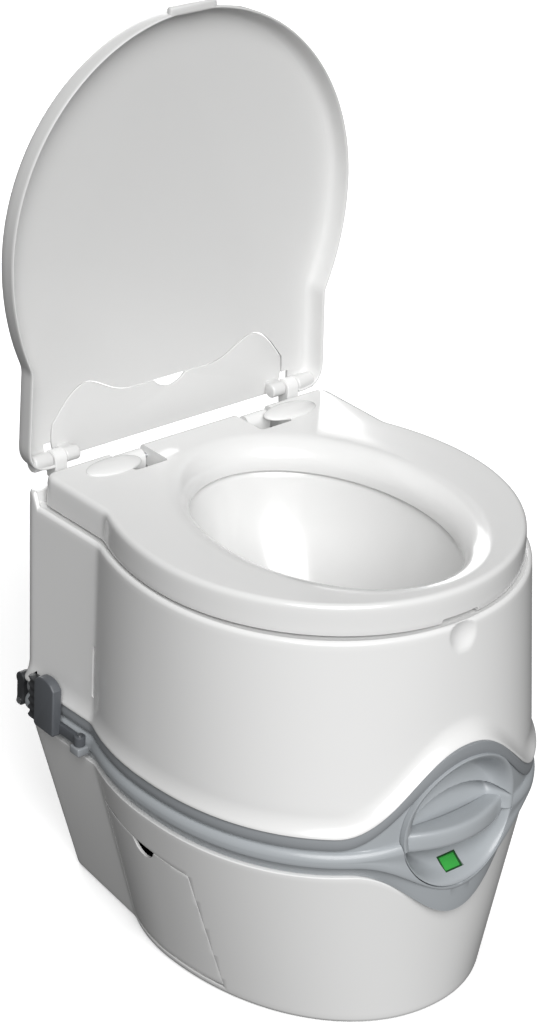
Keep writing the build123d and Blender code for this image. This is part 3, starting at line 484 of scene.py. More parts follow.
# ---- Camera, floor and lights ----
CAMERA_PLACE = (-1.6918, -1.83835, 1.7136)
CAMERA_YAW, CAMERA_PITCH, CAMERA_ROLL = 0.72203, 0.47395, 0.05564
CAMERA_LENS = 109.7
right = Vector((cos(CAMERA_YAW), -sin(CAMERA_YAW), 0))
ahead = Vector((sin(CAMERA_YAW) * cos(CAMERA_PITCH), cos(CAMERA_YAW) * cos(CAMERA_PITCH), -sin(CAMERA_PITCH)))
up = right.cross(ahead)
turned_right = right * cos(CAMERA_ROLL) + up * sin(CAMERA_ROLL)
turned_up = up * cos(CAMERA_ROLL) - right * sin(CAMERA_ROLL)
camera_data = bpy.data.cameras.new("camera")
camera_data.lens = CAMERA_LENS
camera_data.sensor_width = 36.0
camera_data.clip_end = 30.0
camera = bpy.data.objects.new("camera", camera_data)
camera.matrix_world = Matrix.Translation(CAMERA_PLACE) @ Matrix(
    (turned_right, turned_up, -ahead)).transposed().to_4x4()
bpy.context.collection.objects.link(camera)
bpy.context.scene.camera = camera

floor_material = bpy.data.materials.new("floor_white")
floor_material.use_nodes = True
floor_shader = floor_material.node_tree.nodes["Principled BSDF"]
floor_shader.inputs["Base Color"].default_value = (0.96, 0.96, 0.96, 1)
floor_shader.inputs["Emission Color"].default_value = (1, 1, 1, 1)
floor_shader.inputs["Emission Strength"].default_value = 0.3
floor_shader.inputs["Roughness"].default_value = 0.7
FLOOR_HALF, FLOOR_Z = 40000, -0.3
floor_corners = [(a * FLOOR_HALF, b * FLOOR_HALF, FLOOR_Z) for a, b in ((-1, -1), (1, -1), (1, 1), (-1, 1))]
floor = new_object("floor", floor_corners, [(0, 1, 2, 3)])
floor.data.materials.append(floor_material)
floor.visible_diffuse = False
floor.visible_glossy = False

world = bpy.data.worlds.new("studio")
world.use_nodes = True
world.node_tree.nodes["Background"].inputs["Color"].default_value = (1, 1, 1, 1)
world.node_tree.nodes["Background"].inputs["Strength"].default_value = 0.1
bpy.context.scene.world = world
bpy.context.scene.view_settings.view_transform = "Standard"

key_data = bpy.data.lights.new("key", "SUN")
key_data.energy = 3.45
key_data.angle = radians(45)
key = bpy.data.objects.new("key", key_data)
key.rotation_euler = Vector((0.5, 0.87, -0.8)).to_track_quat("-Z", "Y").to_euler()
bpy.context.collection.objects.link(key)


def softbox(name, place, target, size, power):
    """A rectangular lamp aimed at a target."""
    lamp = bpy.data.lights.new(name, "AREA")
    lamp.shape = "RECTANGLE"
    lamp.size, lamp.size_y = size
    lamp.energy = power
    obj = bpy.data.objects.new(name, lamp)
    obj.location = place
    obj.rotation_euler = (Vector(target) - Vector(place)).to_track_quat("-Z", "Y").to_euler()
    bpy.context.collection.objects.link(obj)
    return obj


softbox("top", (0.3, 0.9, 2.4), (0, 0, 0.4), (1.2, 1.2), 2.5)
softbox("back", (1.4, 3.2, 1.3), (0, 0, 0.35), (2.4, 1.8), 60)

# ---- Upper tank ----
SKIRT = 22.0
BOWL_KNOTS = ((46.0, 46.0, 209.0), (62.0, 78.0, 280.0), (98.0, 130.0, 360.0), (112.0, 149.0, 407.0))
BOWL_CURVE = spline(BOWL_KNOTS, 60)
LIP_ROUND = ((9.0, 0.0), (3.4, 0.0), (1.9, 0.3), (0.8, 1.1), (0.2, 2.3), (0.0, 3.4))  # inset, height
BRIM_ROUND = ((0.25, 1.4), (1.0, 2.8), (2.2, 3.8), (3.4, 4.2))
SCOOP_AT = (-206.0, 396.0)  # y, z of the finger scoop's centre
SCOOP_R = 30.0
BUTTON_AT = (168.0, 366.0)  # y, z
BUTTON_ROOM = 9.5
GROOVE_X = 170


def bowl_radii(z, extra):
    """The bowl's inside half axes at a height, grown by extra."""
    across = np.interp(z, BOWL_CURVE[:, 2], BOWL_CURVE[:, 0])
    along = np.interp(z, BOWL_CURVE[:, 2], BOWL_CURVE[:, 1])
    return across + extra, along + extra


def shaped_columns(z, lip_share):
    """Upper tank wall points at one height for each column, flared towards the lip by lip_share."""
    taper = np.clip((z - FLARE_TOP) / (ROOF - FLARE_TOP), 0, 1)[:, None]
    neck, top, lip = plan(NECK), plan(TOP), plan(FLANGE)
    wall = neck + (top - neck) * taper
    return wall + (lip - neck) * np.asarray(lip_share)[:, None]


def upper_tank():
    """The flush tank's shell."""
    lip_plan = plan(FLANGE)
    raised = swell(lip_plan, UPPER_SWELL)
    edge = LIP + raised
    count = len(lip_plan)
    in_arch = raised > 0.01
    rings = []
    for inset, lift in LIP_ROUND:
        share = (1 - np.full(count, lift) / SKIRT) ** 2
        wall = shaped_columns(edge + lift, share)
        rings.append(ring(inward(wall, inset), edge + lift))
    arch_low = rings[0].copy()
    arch_low[in_arch, 1] = ARCH_Y
    floor_line = arch_low.copy()
    floor_line[:, 2] = LIP
    hole = ring(oval_like(lip_plan, (56.0, 56.0), 0.0), LIP)
    rings = [hole, floor_line, arch_low] + rings
    for lift in (5, 7, 9, 11, 13, 16, 19, 22, 26):
        share = np.full(count, max(0.0, 1 - lift / SKIRT) ** 2)
        rings.append(ring(shaped_columns(edge + lift, share), edge + lift))
    start = edge + 26
    ledge = smooth(lip_plan[:, 1], 206.5, 208.5)
    brim = ROOF - 4.2 + ledge * (LEDGE_TOP - ROOF)
    none = np.zeros(count)
    for share in np.linspace(0, 1, 30)[1:]:
        z = start + (brim - start) * share
        rings.append(ring(shaped_columns(z, none), z))
    for inset, lift in BRIM_ROUND:
        z = brim + lift
        rings.append(ring(inward(shaped_columns(z, none), inset), z))
    high = ledge > 0.5
    inner = inward(shaped_columns(brim, none), 4.4)
    inner[high, 1] = LEDGE_FRONT + 1.0
    rings.append(ring(inner, brim + 4.1))
    foot = inward(inner, 0.5)
    foot[high] = inner[high]
    foot[high, 1] = LEDGE_FRONT
    rings.append(ring(foot, np.where(high, brim + 3.2, ROOF - 0.3)))
    rings.append(ring(foot, ROOF - 0.3))
    for share in (0.25, 0.6, 1.0):
        near = foot + (oval_like(foot, (120.0, 157.0)) - foot) * share
        rings.append(ring(near, ROOF))
    for z in (401, 380, 360, 340, 320, 300, 280, 260, 240, 224):
        across, along = bowl_radii(z, 5.0)
        rings.append(ring(oval_like(foot, (across, along), 3.0), z))
    # Finger scoop in the front of the rim: a shallow ball-shaped hollow.
    scoop_y, scoop_z = SCOOP_AT
    for loop in rings:
        reach = SCOOP_R**2 - loop[:, 0] ** 2 - (loop[:, 2] - scoop_z) ** 2
        surface = scoop_y + np.sqrt(np.clip(reach, 0, None))
        inside = (reach > 0) & (loop[:, 1] < surface) & (loop[:, 1] < -150)
        loop[inside, 1] = surface[inside]
    tank = new_object("flush_tank_shell", *loft_mesh(rings, around=True))
    pocket = box_object("pocket", 75, 135, 180, 260, 338, 398)
    soften(pocket, 6, 4)
    carve(tank, pocket)
    for side in (-1, 1):
        groove = box_object("groove", side * GROOVE_X - 12, side * GROOVE_X + 12, 113.0, 117.0, 246, 300)
        soften(groove, 1.8, 4)
        carve(tank, groove)
    circle = circle_points(BUTTON_AT, BUTTON_ROOM)
    carve(tank, prism_object("button_room", circle, sweep_x, 170.5, 190))
    return settle(tank, "upper_unit", WHITE, ["upper_tank"])


upper_tank()


def bowl():
    """The bowl's liner: a lip under the seat, a deep oval inside and a round outlet."""
    steps = 128
    angle = np.linspace(0, 2 * pi, steps, endpoint=False)
    circle = np.column_stack([np.cos(angle), np.sin(angle)])

    def oval(radii, centre, z):
        return ring(circle * radii + [0, centre], z)

    def centre_at(z):
        return float(np.interp(z, (209.0, 280.0, 360.0), (0.0, 3.0, BOWL_Y)))

    rings = [oval((125.0, 162.0), BOWL_Y, z) for z in (405.0, 406.0)]
    for radii, z in (((124.4, 161.4), 406.5), ((113.6, 150.6), 406.5), ((112.4, 149.4), 405.8)):
        rings.append(oval(radii, BOWL_Y, z))
    for z in np.linspace(404.0, 209.0, 46):
        rings.append(oval(bowl_radii(z, 0.0), centre_at(z), z))
    for z in np.linspace(209.0, 403.0, 30):
        rings.append(oval(bowl_radii(z, WALL), centre_at(z), z))
    rings.append(oval(bowl_radii(404.9, WALL), BOWL_Y, 404.9))
    liner = new_object("bowl_liner", *loft_mesh(rings, around=True))
    return settle(liner, "upper_unit", BOWL_WHITE, ["bowl"])


bowl()


# ---- Seat ----
def seat():
    """The seat ring."""
    foot, top = plan(SEAT_FOOT), plan(SEAT_TOP)
    rings = [ring(inward(foot, 4.0), SEAT_BASE), ring(inward(foot, 1.2), SEAT_BASE)]
    rings += [ring(inward(foot, 0.3), SEAT_BASE + 0.6), ring(foot, SEAT_BASE + 1.8)]
    for share in (0.2, 0.45, 0.7):
        rings.append(ring(foot + (top - foot) * share, SEAT_BASE + (SEAT_HEIGHT - SEAT_BASE) * share))
    for inset, drop in ((0.0, 5.6), (0.3, 3.8), (1.1, 2.1), (2.4, 0.8), (4.2, 0.1), (6.0, 0.0)):
        rings.append(ring(inward(top, inset), SEAT_HEIGHT - drop))
    flat = rings[-1][:, :2]
    edge = oval_like(flat, (SEAT_HOLE[0] + 27, SEAT_HOLE[1] + 25))
    for share in (0.3, 0.65):
        rings.append(ring(flat + (edge - flat) * share, SEAT_HEIGHT))
    slope = ((27, 437.0), (23, 436.8), (19, 436.1), (15, 434.8), (11.5, 433.0), (8, 430.5), (5, 427.6),
             (2.6, 424.2), (1.0, 420.6), (0.2, 417.0), (0.0, 412.0), (0.4, 408.9), (1.8, 407.5))
    for extra, z in slope:
        rings.append(ring(oval_like(flat, (SEAT_HOLE[0] + extra, SEAT_HOLE[1] + extra * 0.93)), z))
    ring_seat = new_object("seat_ring_top", *loft_mesh(rings, around=True))
    for side in (-1, 1):
        low_x, high_x = span(side, 56.0, 95.0)
        notch = box_object("notch", low_x, high_x, 163, 240, 396, 450)
        soften(notch, 4, 3)
        carve(ring_seat, notch)
    carve(ring_seat, box_object("ledge_room", -160, 160, 176, 240, 396, 418))
    finger = box_object("finger", -21.5, 21.5, -200, -160, 396, 412)
    soften(finger, 3, 3)
    carve(ring_seat, finger)
    return settle(ring_seat, "seat_ring", SEAT_WHITE, ["seat"])


seat()


DOME_AT = (106, 181)  # distance from the middle, y
DOME_HALF = (29.5, 14.5)
DOME_RISE = 5.0


def hinge_domes():
    """The low covers over the seat's hinges."""
    angle = np.linspace(0, 2 * pi, 64, endpoint=False)
    parts = []
    for side in (-1, 1):
        rings = []
        for lift in np.concatenate([[-0.12], np.linspace(0, 1, 12)]):
            size = np.clip(1 - max(lift, 0) ** 2, 0, 1) ** 0.5 + 0.02
            x = side * DOME_AT[0] + DOME_HALF[0] * size * np.cos(angle)
            y = DOME_AT[1] + DOME_HALF[1] * size * np.sin(angle)
            rings.append(ring(np.column_stack([x, y]), SEAT_HEIGHT + DOME_RISE * lift))
        parts.append(loft_mesh(rings, cap_first=True, cap_last=True))
    domes = joined("hinge_domes", parts)
    return settle(domes, "seat_ring", SEAT_WHITE, ["hinge_covers"])


hinge_domes()


# ---- Lid and flap ----
def lid_place(x, y, z):
    """A point of the lid's own frame: y towards the hinge, z towards the outer face."""
    lean_sin, lean_cos = sin(LID_LEAN), cos(LID_LEAN)
    place_y = LID_AXIS[0] - y * lean_sin + z * lean_cos
    place_z = LID_AXIS[1] - y * lean_cos - z * lean_sin
    return np.stack([x, place_y, place_z], -1)


def lid_ring(points, z):
    return lid_place(points[:, 0], points[:, 1], np.broadcast_to(float(z), len(points)))


def lid_prism(name, outline, low, high):
    points = np.asarray(outline, float)
    rings = [lid_ring(points, low), lid_ring(points, high)]
    return new_object(name, *loft_mesh(rings, cap_first=True, cap_last=True))


def lid_box(name, x0, x1, y0, y1, z0, z1):
    return lid_prism(name, [(x0, y0), (x1, y0), (x1, y1), (x0, y1)], z0, z1)


def flap_outline(margin):
    """The flap's wavy outline grown by margin."""
    half, low = 137.0 + margin, 8.0 + margin
    crest = [(0, -42 - margin), (34, -42 - margin), (62, -45 - margin), (99, -61 - margin), (half, -28)]
    left = [(-x, y) for x, y in crest[:0:-1]]
    wave = spline(left + crest, 120)
    right_corner = spline([(half, -28), (half, -6), (half - 5, 4), (124 + margin, low)], 12)[1:]
    left_corner = right_corner[::-1] * [-1, 1]
    return np.concatenate([wave, right_corner, left_corner[:-1]])


# The lid's section as (inset, height): outer face, rim, then the dished inside.
LID_OUTER = ((11.0, 13.0), (8.0, 13.0), (5.2, 12.6), (2.9, 11.4), (1.5, 9.6), (0.9, 7.4), (0.5, 2.0))
LID_RIM = ((0.1, -6.0), (0.15, -7.4), (0.6, -8.6), (1.3, -9.0), (2.0, -8.8), (2.6, -8.0), (2.9, -6.8))
LID_INNER = ((3.2, -3.0), (3.6, 0.0), (4.2, 3.0), (5.2, 5.6), (6.8, 7.7), (8.8, 9.1), (10.8, 9.8),
             (12.6, 10.0))
FLAP_ROOM = 1.4


def lid():
    """The lid's dished shell."""
    outline = plan(LID, LID_CORNER)
    rings = [lid_ring(inward(outline, inset), z) for inset, z in LID_OUTER + LID_RIM + LID_INNER]
    shell = new_object("lid_shell_panel", *loft_mesh(rings, cap_first=True, cap_last=True))
    carve(shell, lid_box("hinge_room", -147, 147, -11, 19, -17, 25))
    carve(shell, lid_prism("flap_window", flap_outline(FLAP_ROOM), 0.0, 22.0))
    for side in (-1, 1):
        profile = pin_profile(8.0, 147.5, 168.0, 2.0)
        ear = new_object("ear", *lathe(profile, (0, *LID_AXIS), (side, 0, 0), 48))
        carve(shell, ear, "UNION")
    tab = lid_box("tab", -26.5, 26.5, -411.0, -402.0, -9.0, -2.0)
    soften(tab, 2.2, 3)
    carve(shell, tab, "UNION")
    return settle(shell, "lid_shell", LID_WHITE, ["lid"])


lid()


def lid_flap():
    """The wavy flap with its arms and knuckles."""
    panel = lid_prism("lid_flap_panel", flap_outline(0.0), 10.0, 13.0)
    carve(panel, lid_prism("crescent", circle_points((0, -56), 23, 64), 5.0, 20.0))
    soften(panel, 0.9, 3, 50)
    for side in (-1, 1):
        low_x, high_x = span(side, 119.0, 132.0)
        arm = lid_box("arm", low_x, high_x, -6.5, 6.5, 0.0, 11.5)
        soften(arm, 1.2, 2)
        carve(panel, arm, "UNION")
        profile = pin_profile(7.0, 116.5, 132.0, 1.6)
        knuckle = new_object("knuckle", *lathe(profile, (0, *LID_AXIS), (side, 0, 0), 40))
        carve(panel, knuckle, "UNION")
    return settle(panel, "flap", LID_WHITE, ["lid_flap"])


lid_flap()


def lid_brackets():
    """Two rounded posts on the ledge that carry the lid's pins."""
    parts = []
    hinge_y, hinge_z = LID_AXIS
    head = 8.5
    arc = [radians(a) for a in range(0, 181, 12)]
    outline = [(hinge_y + head * cos(a), hinge_z + head * sin(a)) for a in arc]
    outline += [(hinge_y - head, LEDGE_TOP - 1), (hinge_y - 2.5, LEDGE_TOP - 1)]
    outline.append((hinge_y + 5.0, LEDGE_TOP + 1))
    for side in (-1, 1):
        rings = []
        for at, inset in ((133.0, 0.8), (133.8, 0.0), (145.7, 0.0), (146.5, 0.8)):
            centre = np.array([hinge_y, 430.0])
            points = np.array(outline)
            points = centre + (points - centre) * (1 - inset / 9)
            rings.append(np.column_stack([np.full(len(points), side * at), points]))
        parts.append(loft_mesh(rings, cap_first=True, cap_last=True))
    posts = joined("lid_hinge_posts", parts)
    return settle(posts, "upper_unit", WHITE, ["lid_brackets"])


lid_brackets()

# ---- Lower tank and its paper door ----
DOOR_EDGE = ((84.0, 8.0), (100.0, 140.0), (-36.0, 133.0), (-56.0, 8.0))
DOOR_FOOT = 11.2
DOOR_WALL = (-220, -66)  # x range of the door's cutters
NICHE = (125.0, 177.0, 116.0, 170.0)  # half width, front y, low z, high z


def lower_wall(z):
    """Lower tank wall points at one height for each column."""
    share = (np.asarray(z) / LOWER_TOP)[:, None]
    return plan(BASE) * (1 - share) + plan(BAND) * share


def lower_rings():
    """The closed waste tank: skin, top edge, front scoop and deck, then the same inside."""
    count = len(plan(BASE))
    edge = LOWER_TOP + swell(plan(BAND), LOWER_SWELL)
    in_scoop = edge < LOWER_TOP - 0.01
    skin = []
    for inset, z in ((7.0, 0.0), (3.2, 0.25), (1.1, 1.3), (0.25, 3.0)):
        level_z = np.full(count, z)
        skin.append(ring(inward(lower_wall(level_z), inset), level_z))
    for share in np.linspace(0, 1, 34):
        z = 5.0 + (edge - 1.6 - 5.0) * share
        skin.append(ring(lower_wall(z), z))
    for inset, lift in ((0.3, 0.9), (1.0, 1.5), (2.2, 1.6), (3.4, 1.6)):
        skin.append(ring(inward(lower_wall(edge), inset), edge - 1.6 + lift))
    step = ring(inward(lower_wall(edge), 6.0), edge)
    step[in_scoop, 1] = SCOOP_Y
    deck = step.copy()
    deck[:, 2] = LOWER_TOP
    skin += [step, deck]
    hole = oval_like(plan(BAND), (50.0, 50.0), 0.0)
    skin += [ring(hole, LOWER_TOP), ring(hole, LOWER_TOP - WALL)]
    lower_deck = deck.copy()
    lower_deck[:, :2] = inward(deck[:, :2], 3.0)
    lower_deck[in_scoop, 1] = SCOOP_Y + WALL
    lower_deck[:, 2] = LOWER_TOP - WALL
    lower_step = lower_deck.copy()
    lower_step[:, 2] = edge - WALL
    inside = [lower_deck, lower_step]
    for share in np.linspace(1, 0, 16):
        z = 6.0 + (edge - WALL - 0.5 - 6.0) * share
        inside.append(ring(inward(lower_wall(z), WALL), z))
    inside.append(ring(inward(lower_wall(np.full(count, WALL)), 8.0), WALL))
    return skin + inside


def door_cutter(name, margin, foot, low_x, high_x):
    """The paper door's outline, grown by margin, as a solid across the left wall."""
    centre = np.mean(DOOR_EDGE, axis=0)
    points = []
    for corner in DOOR_EDGE:
        a, b = np.array(corner) + np.sign(np.array(corner) - centre) * margin
        points.append((a, max(b, foot)))
    return prism_object(name, points, sweep_x, low_x, high_x)


def waste_tank():
    """The waste tank, and the paper door cut from its skin."""
    tank = new_object("waste_tank_shell", *loft_mesh(lower_rings(), cap_first=True, cap_last=True))
    half, front, low, high = NICHE
    niche = box_object("niche", -half, half, front, 260, low, high)
    soften(niche, 4, 3)
    carve(tank, niche)
    door = bpy.data.objects.new("door_panel", tank.data.copy())
    bpy.context.collection.objects.link(door)
    carve(tank, door_cutter("door_room", 0.0, 0.0, *DOOR_WALL))
    carve(door, door_cutter("door_form", -0.9, DOOR_FOOT, *DOOR_WALL), "INTERSECT")
    carve(door, prism_object("notch", circle_points((25, 139), 16), sweep_x, -240, -60))
    soften(door, 0.9, 3, 50)
    settle(door, "door", WHITE, ["paper_door"])
    soften(tank, 0.5, 2, 50)
    return settle(tank, "lower_unit", WHITE, ["lower_tank"])


waste_tank()

# ---- Grey collar, grip recess and tray strip ----
RIDGE_LOW = 190.0
RIDGE_TOP = 203.4
FACE_Y = -205.5
STRIP_FRONT_Y = -204.8
GAUGE_AT = (-157.5, 127.5)  # y, z of the level flag's pin
FLAG_ROOM = (43.8, 11.6)  # radius, half width


def front_face(inset):
    """The collar's outermost plan, drawn out at the front to the escutcheon's face."""
    flange = plan(grown(FLANGE, -inset))
    front = plan(grown(FLANGE, -inset)._replace(front_y=FACE_Y))
    return flange + (front - flange) * smooth(-flange[:, 1], 100, 190)[:, None]


def face_y(x):
    """The escutcheon's face at the front for any x."""
    shape = grown(FLANGE, -1.5)
    share = (np.abs(x) / shape.half) ** shape.fullness
    return shape.centre_y - (shape.centre_y - FACE_Y) * (1 - share) ** (1 / shape.fullness)


def eye_loop(extra, steps=160):
    angle = np.linspace(0, 2 * pi, steps, endpoint=False)
    x = (EYE_HALF[0] + extra) * np.cos(angle)
    z = EYE_Z + (EYE_HALF[1] + extra) * np.sin(angle)
    return np.column_stack([x, z])


def collar():
    """The grey collar with its front swelling."""
    lip_plan = plan(BAND)
    white_edge = LOWER_TOP + 0.5 + swell(lip_plan, LOWER_SWELL)
    ridge_low = RIDGE_LOW + swell(lip_plan, RIDGE_SWELL)
    top = SPLIT - 0.4 + swell(lip_plan, UPPER_SWELL)
    line = RIDGE_TOP + swell(lip_plan, (10.0, 130.0, 1.0))
    face = front_face(1.5)
    strip = plan(BAND)
    pull = swell(lip_plan, (1.0, 118.0, 1.0))[:, None]
    strip = strip + (plan(BAND._replace(front_y=STRIP_FRONT_Y)) - strip) * pull
    shallow = 1 - 0.45 * pull[:, 0]
    rings = [ring(inward(strip, 12.0), white_edge), ring(inward(strip, 4.6 * shallow), white_edge)]
    for share, depth in ((0.06, 4.0), (0.3, 3.0), (0.65, 1.6), (1.0, 0.4)):
        z = white_edge + 0.4 + (ridge_low - white_edge - 0.6) * share
        rings.append(ring(inward(strip, depth * shallow), z))
    under = inward(strip, 0.4) * 0.35 + inward(face, 0.8) * 0.65
    rings.append(ring(under, ridge_low))
    rise = ((0.5, 0.5), (0.15, 1.6), (0.0, 3.4), (0.0, 5.4))
    for inset, height in rise:
        rings.append(ring(inward(face, inset), ridge_low + height))
    fall = ((0.0, 7.4), (0.35, 5.6), (1.1, 3.6), (2.3, 1.7), (3.6, 0.5), (4.6, 0.0))
    start, end = ridge_low + rise[-1][1], line - fall[0][1]
    bulge = np.clip((end - start) / 40.0, 0, 1)
    for share in np.linspace(0.05, 0.95, 22):
        hollow = bulge * 1.6 * sin(pi * share) ** 2
        rings.append(ring(inward(face, hollow), start + (end - start) * share))
    for inset, drop in fall:
        rings.append(ring(inward(face, inset), line - drop))
    for share in np.linspace(0.08, 0.9, 14):
        rings.append(ring(inward(face, 5.2), line + (top - 0.6 - line) * share))
    rings.append(ring(inward(face, 5.4), top - 0.5))
    rings.append(ring(inward(face, 6.4), top))
    rings.append(ring(inward(face, 15.0), top))
    body = new_object("collar_band", *loft_mesh(rings, around=True))
    carve(body, prism_object("eye", eye_loop(1.4), sweep_y, -260, -100))
    circle = circle_points(GAUGE_AT, FLAG_ROOM[0], 96)
    carve(body, prism_object("flag_room", circle, sweep_x, -FLAG_ROOM[1], FLAG_ROOM[1]))
    return settle(body, "lower_unit", GREY, ["collar", "front_escutcheon"])


collar()

WINDOW_AT = (-188.8, 163.0)  # y, z
WINDOW_TILT = radians(38.7)
DISH_BACK = -165.0
LEDGE_Z = 214.0
LEDGE_RISE = 28.0  # how far the overhang in the recess arches up at its middle
LEDGE_HALF = 64.0
SLOPE_TOP = 200.0  # the window's slope lies below this height
VISOR_Y, VISOR_TOP = -187.0, 280.0
MOUND_Y, MOUND_FOOT = -180.0, 212.0
HOLLOW = 7.0


def dish_surface(x, z):
    """The grip recess's surface, as y, at front view points."""
    rim = face_y(x) + 0.3
    share = 1 - np.sqrt((x / EYE_HALF[0]) ** 2 + ((z - EYE_Z) / EYE_HALF[1]) ** 2)
    slope = WINDOW_AT[0] + (z - WINDOW_AT[1]) / np.tan(WINDOW_TILT)
    ledge = LEDGE_Z + LEDGE_RISE * (1 - (x / LEDGE_HALF) ** 2)
    visor = VISOR_Y + HOLLOW * np.sin(pi * np.clip((z - ledge) / (VISOR_TOP - ledge), 0, 1))
    mound = MOUND_Y + HOLLOW * smooth(z, MOUND_FOOT, ledge)
    upper = mound + (visor - mound) * smooth(z, ledge - 0.4, ledge + 0.4)
    depth = np.where(z < SLOPE_TOP, np.minimum(slope, DISH_BACK), upper)
    depth = np.maximum(depth, rim)
    wall = np.where(z < SLOPE_TOP, smooth(share, -0.02, 0.2), smooth(share, 0.0, 0.3))
    return rim + (depth - rim) * wall


def grip_recess():
    """Rows of constant height, so that the ledge in the recess stays crisp."""
    half_x, half_z = EYE_HALF
    low = np.linspace(-pi / 2, 0, 60)
    heights = EYE_Z + half_z * np.sin(low)
    upper = EYE_Z + half_z * np.sin(np.linspace(0, pi / 2, 170))[1:]
    heights = np.concatenate([heights, upper])
    across = np.sin(np.linspace(-pi / 2, pi / 2, 129))
    rows = []
    for z in heights:
        width = half_x * sqrt(max(1e-6, 1 - ((z - EYE_Z) / half_z) ** 2))
        x = across * width
        rows.append(np.column_stack([x, dish_surface(x, np.full(len(x), z)), np.full(len(x), z)]))
    verts = np.concatenate(rows)
    columns = len(across)
    faces = []
    for i in range(len(rows) - 1):
        for j in range(columns - 1):
            a = i * columns + j
            faces.append((a, a + 1, a + columns + 1, a + columns))
    front = np.concatenate([
        np.arange(columns),
        [i * columns + columns - 1 for i in range(1, len(rows))],
        np.arange(columns)[::-1][1:] + (len(rows) - 1) * columns,
        [i * columns for i in range(len(rows) - 2, 0, -1)],
    ]).astype(int)
    loop = verts[front]
    flat = loop[:, [0, 2]] - [0, EYE_Z]
    outward = flat / np.maximum(np.linalg.norm(flat, axis=1), 1e-6)[:, None]

    def border(extra, back):
        x, z = loop[:, 0] + outward[:, 0] * extra, loop[:, 2] + outward[:, 1] * extra
        return np.column_stack([x, loop[:, 1] + back, z])

    skirts = [border(0.35, 0.2), border(0.5, 1.0), border(0.5, 10.0), border(6.0, 10.5)]
    back_plate = border(6.0, 0.0)
    back_plate[:, 1] = np.maximum(skirts[-1][:, 1] + 1.0, -160.0)
    skirts.append(back_plate)
    count = len(front)
    base = len(verts)
    previous = front.tolist()
    for order, skirt in enumerate(skirts):
        verts = np.concatenate([verts, skirt])
        current = list(range(base + order * count, base + (order + 1) * count))
        for k in range(count):
            following = (k + 1) % count
            faces.append((previous[k], previous[following], current[following], current[k]))
        previous = current
    faces.append(previous[::-1])
    dish = new_object("grip_recess", verts, faces)
    room = window_box("window_room", 10.9, 8.4, -3.0, 6.0)
    carve(dish, room)
    return settle(dish, "lower_unit", GREY, sharp=40)


def window_box(name, half_width, half_height, low, high):
    """A box set in the recess's slope at the level window."""
    along = np.array([0, cos(WINDOW_TILT), sin(WINDOW_TILT)])
    off = np.array([0, -sin(WINDOW_TILT), cos(WINDOW_TILT)])
    centre = np.array([0, *WINDOW_AT])
    rings = []
    for height in (low, high):
        loop = []
        for a, b in ((-1, -1), (1, -1), (1, 1), (-1, 1)):
            sideways = np.array([1, 0, 0]) * a * half_width
            loop.append(centre + sideways + along * b * half_height + off * height)
        rings.append(np.array(loop))
    return new_object(name, *loft_mesh(rings, cap_first=True, cap_last=True))


grip_recess()
# The dark green rim round the pane is painted shade: it stands for the shadow along the window's border in
# its recess.
window_shade_rim = window_box("window_shade_rim", 10.7, 8.2, -2.8, 0.3)
carve(window_shade_rim, window_box("window_hole", 9.1, 6.6, -5.0, 3.0))
soften(window_shade_rim, 0.3, 2, 50)
settle(window_shade_rim, "lower_unit", WINDOW_SHADE_GREEN)
window_pane = window_box("window_pane", 9.3, 6.8, -2.9, -0.9)
soften(window_pane, 0.4, 2, 50)
settle(window_pane, "lower_unit", WINDOW, ["level_window"])


BAR_HALF, BAR_REACH = 62.4, 70.0  # the bar's half length, and that of the arc it follows
BAR_FRONT = (-184, 24)  # y at the arc's ends, and how far the middle bows forwards
BAR_REAR = (-172, 11)


def valve_bar():
    """The arched pull bar across the grip recess."""
    rings = []
    for x in np.linspace(-BAR_HALF, BAR_HALF, 61):
        share = 1 - (x / BAR_REACH) ** 2
        front, rear = BAR_FRONT[0] - BAR_FRONT[1] * share, BAR_REAR[0] - BAR_REAR[1] * share
        section = (
            (front + 0.6, 196.2), (front + 0.1, 197.0), (front, 199.5), (front + 0.7, 206.5),
            (front + 1.4, 209.6), (front + 2.3, 211.5), (front + 3.8, 212.6), (front + 6.0, 213.0),
            (rear - 2.0, 212.6), (rear - 0.6, 211.8), (rear, 210.2), (rear, 197.0), (rear - 0.8, 196.2),
        )
        rings.append(np.array([(x, y, z) for y, z in section]))
    bar = new_object("valve_bar_grip", *loft_mesh(rings, cap_first=True, cap_last=True))
    return settle(bar, "waste_valve", GREY, ["valve_bar"], sharp=50)


valve_bar()


TRAY_FRONT_Y = -203.0
TRAY_INSET = 2.6


def tray_strip():
    """The grey strip under the upper tank's lip."""
    lip_plan = plan(FLANGE)
    low = SPLIT + 0.6 + swell(lip_plan, UPPER_SWELL)
    high = LIP + 0.1 + swell(lip_plan, UPPER_SWELL)
    face = plan(grown(FLANGE, -TRAY_INSET))
    front = plan(grown(FLANGE, -TRAY_INSET)._replace(front_y=TRAY_FRONT_Y))
    face = face + (front - face) * smooth(-face[:, 1], 120, 190)[:, None]
    rings = [ring(inward(face, 11.0), low), ring(inward(face, 2.4), low), ring(inward(face, 0.9), low + 0.5)]
    for share, depth in ((0.15, 0.25), (0.4, 0.0), (0.65, 0.4), (0.9, 1.2)):
        rings.append(ring(inward(face, depth), low + (high - low) * share))
    rings.append(ring(inward(face, 1.6), high))
    rings.append(ring(inward(face, 11.0), high))
    hole = oval_like(face, (53.0, 53.0), 0.0)
    rings.insert(0, ring(hole, SPLIT + 3))
    rings.append(ring(hole, SPLIT + 6))
    strip = new_object("tray_strip", *loft_mesh(rings, around=True))
    return settle(strip, "upper_unit", STRIP, ["base_tray"])


tray_strip()


# ---- Latches, lugs and carry handle ----
LATCH_LUG = (166, 188, 117, 131, 184, 192.6)  # near and far x, then y and z ranges
HANDLE_LUG = (151, 160, 205, 237, 180, 192)


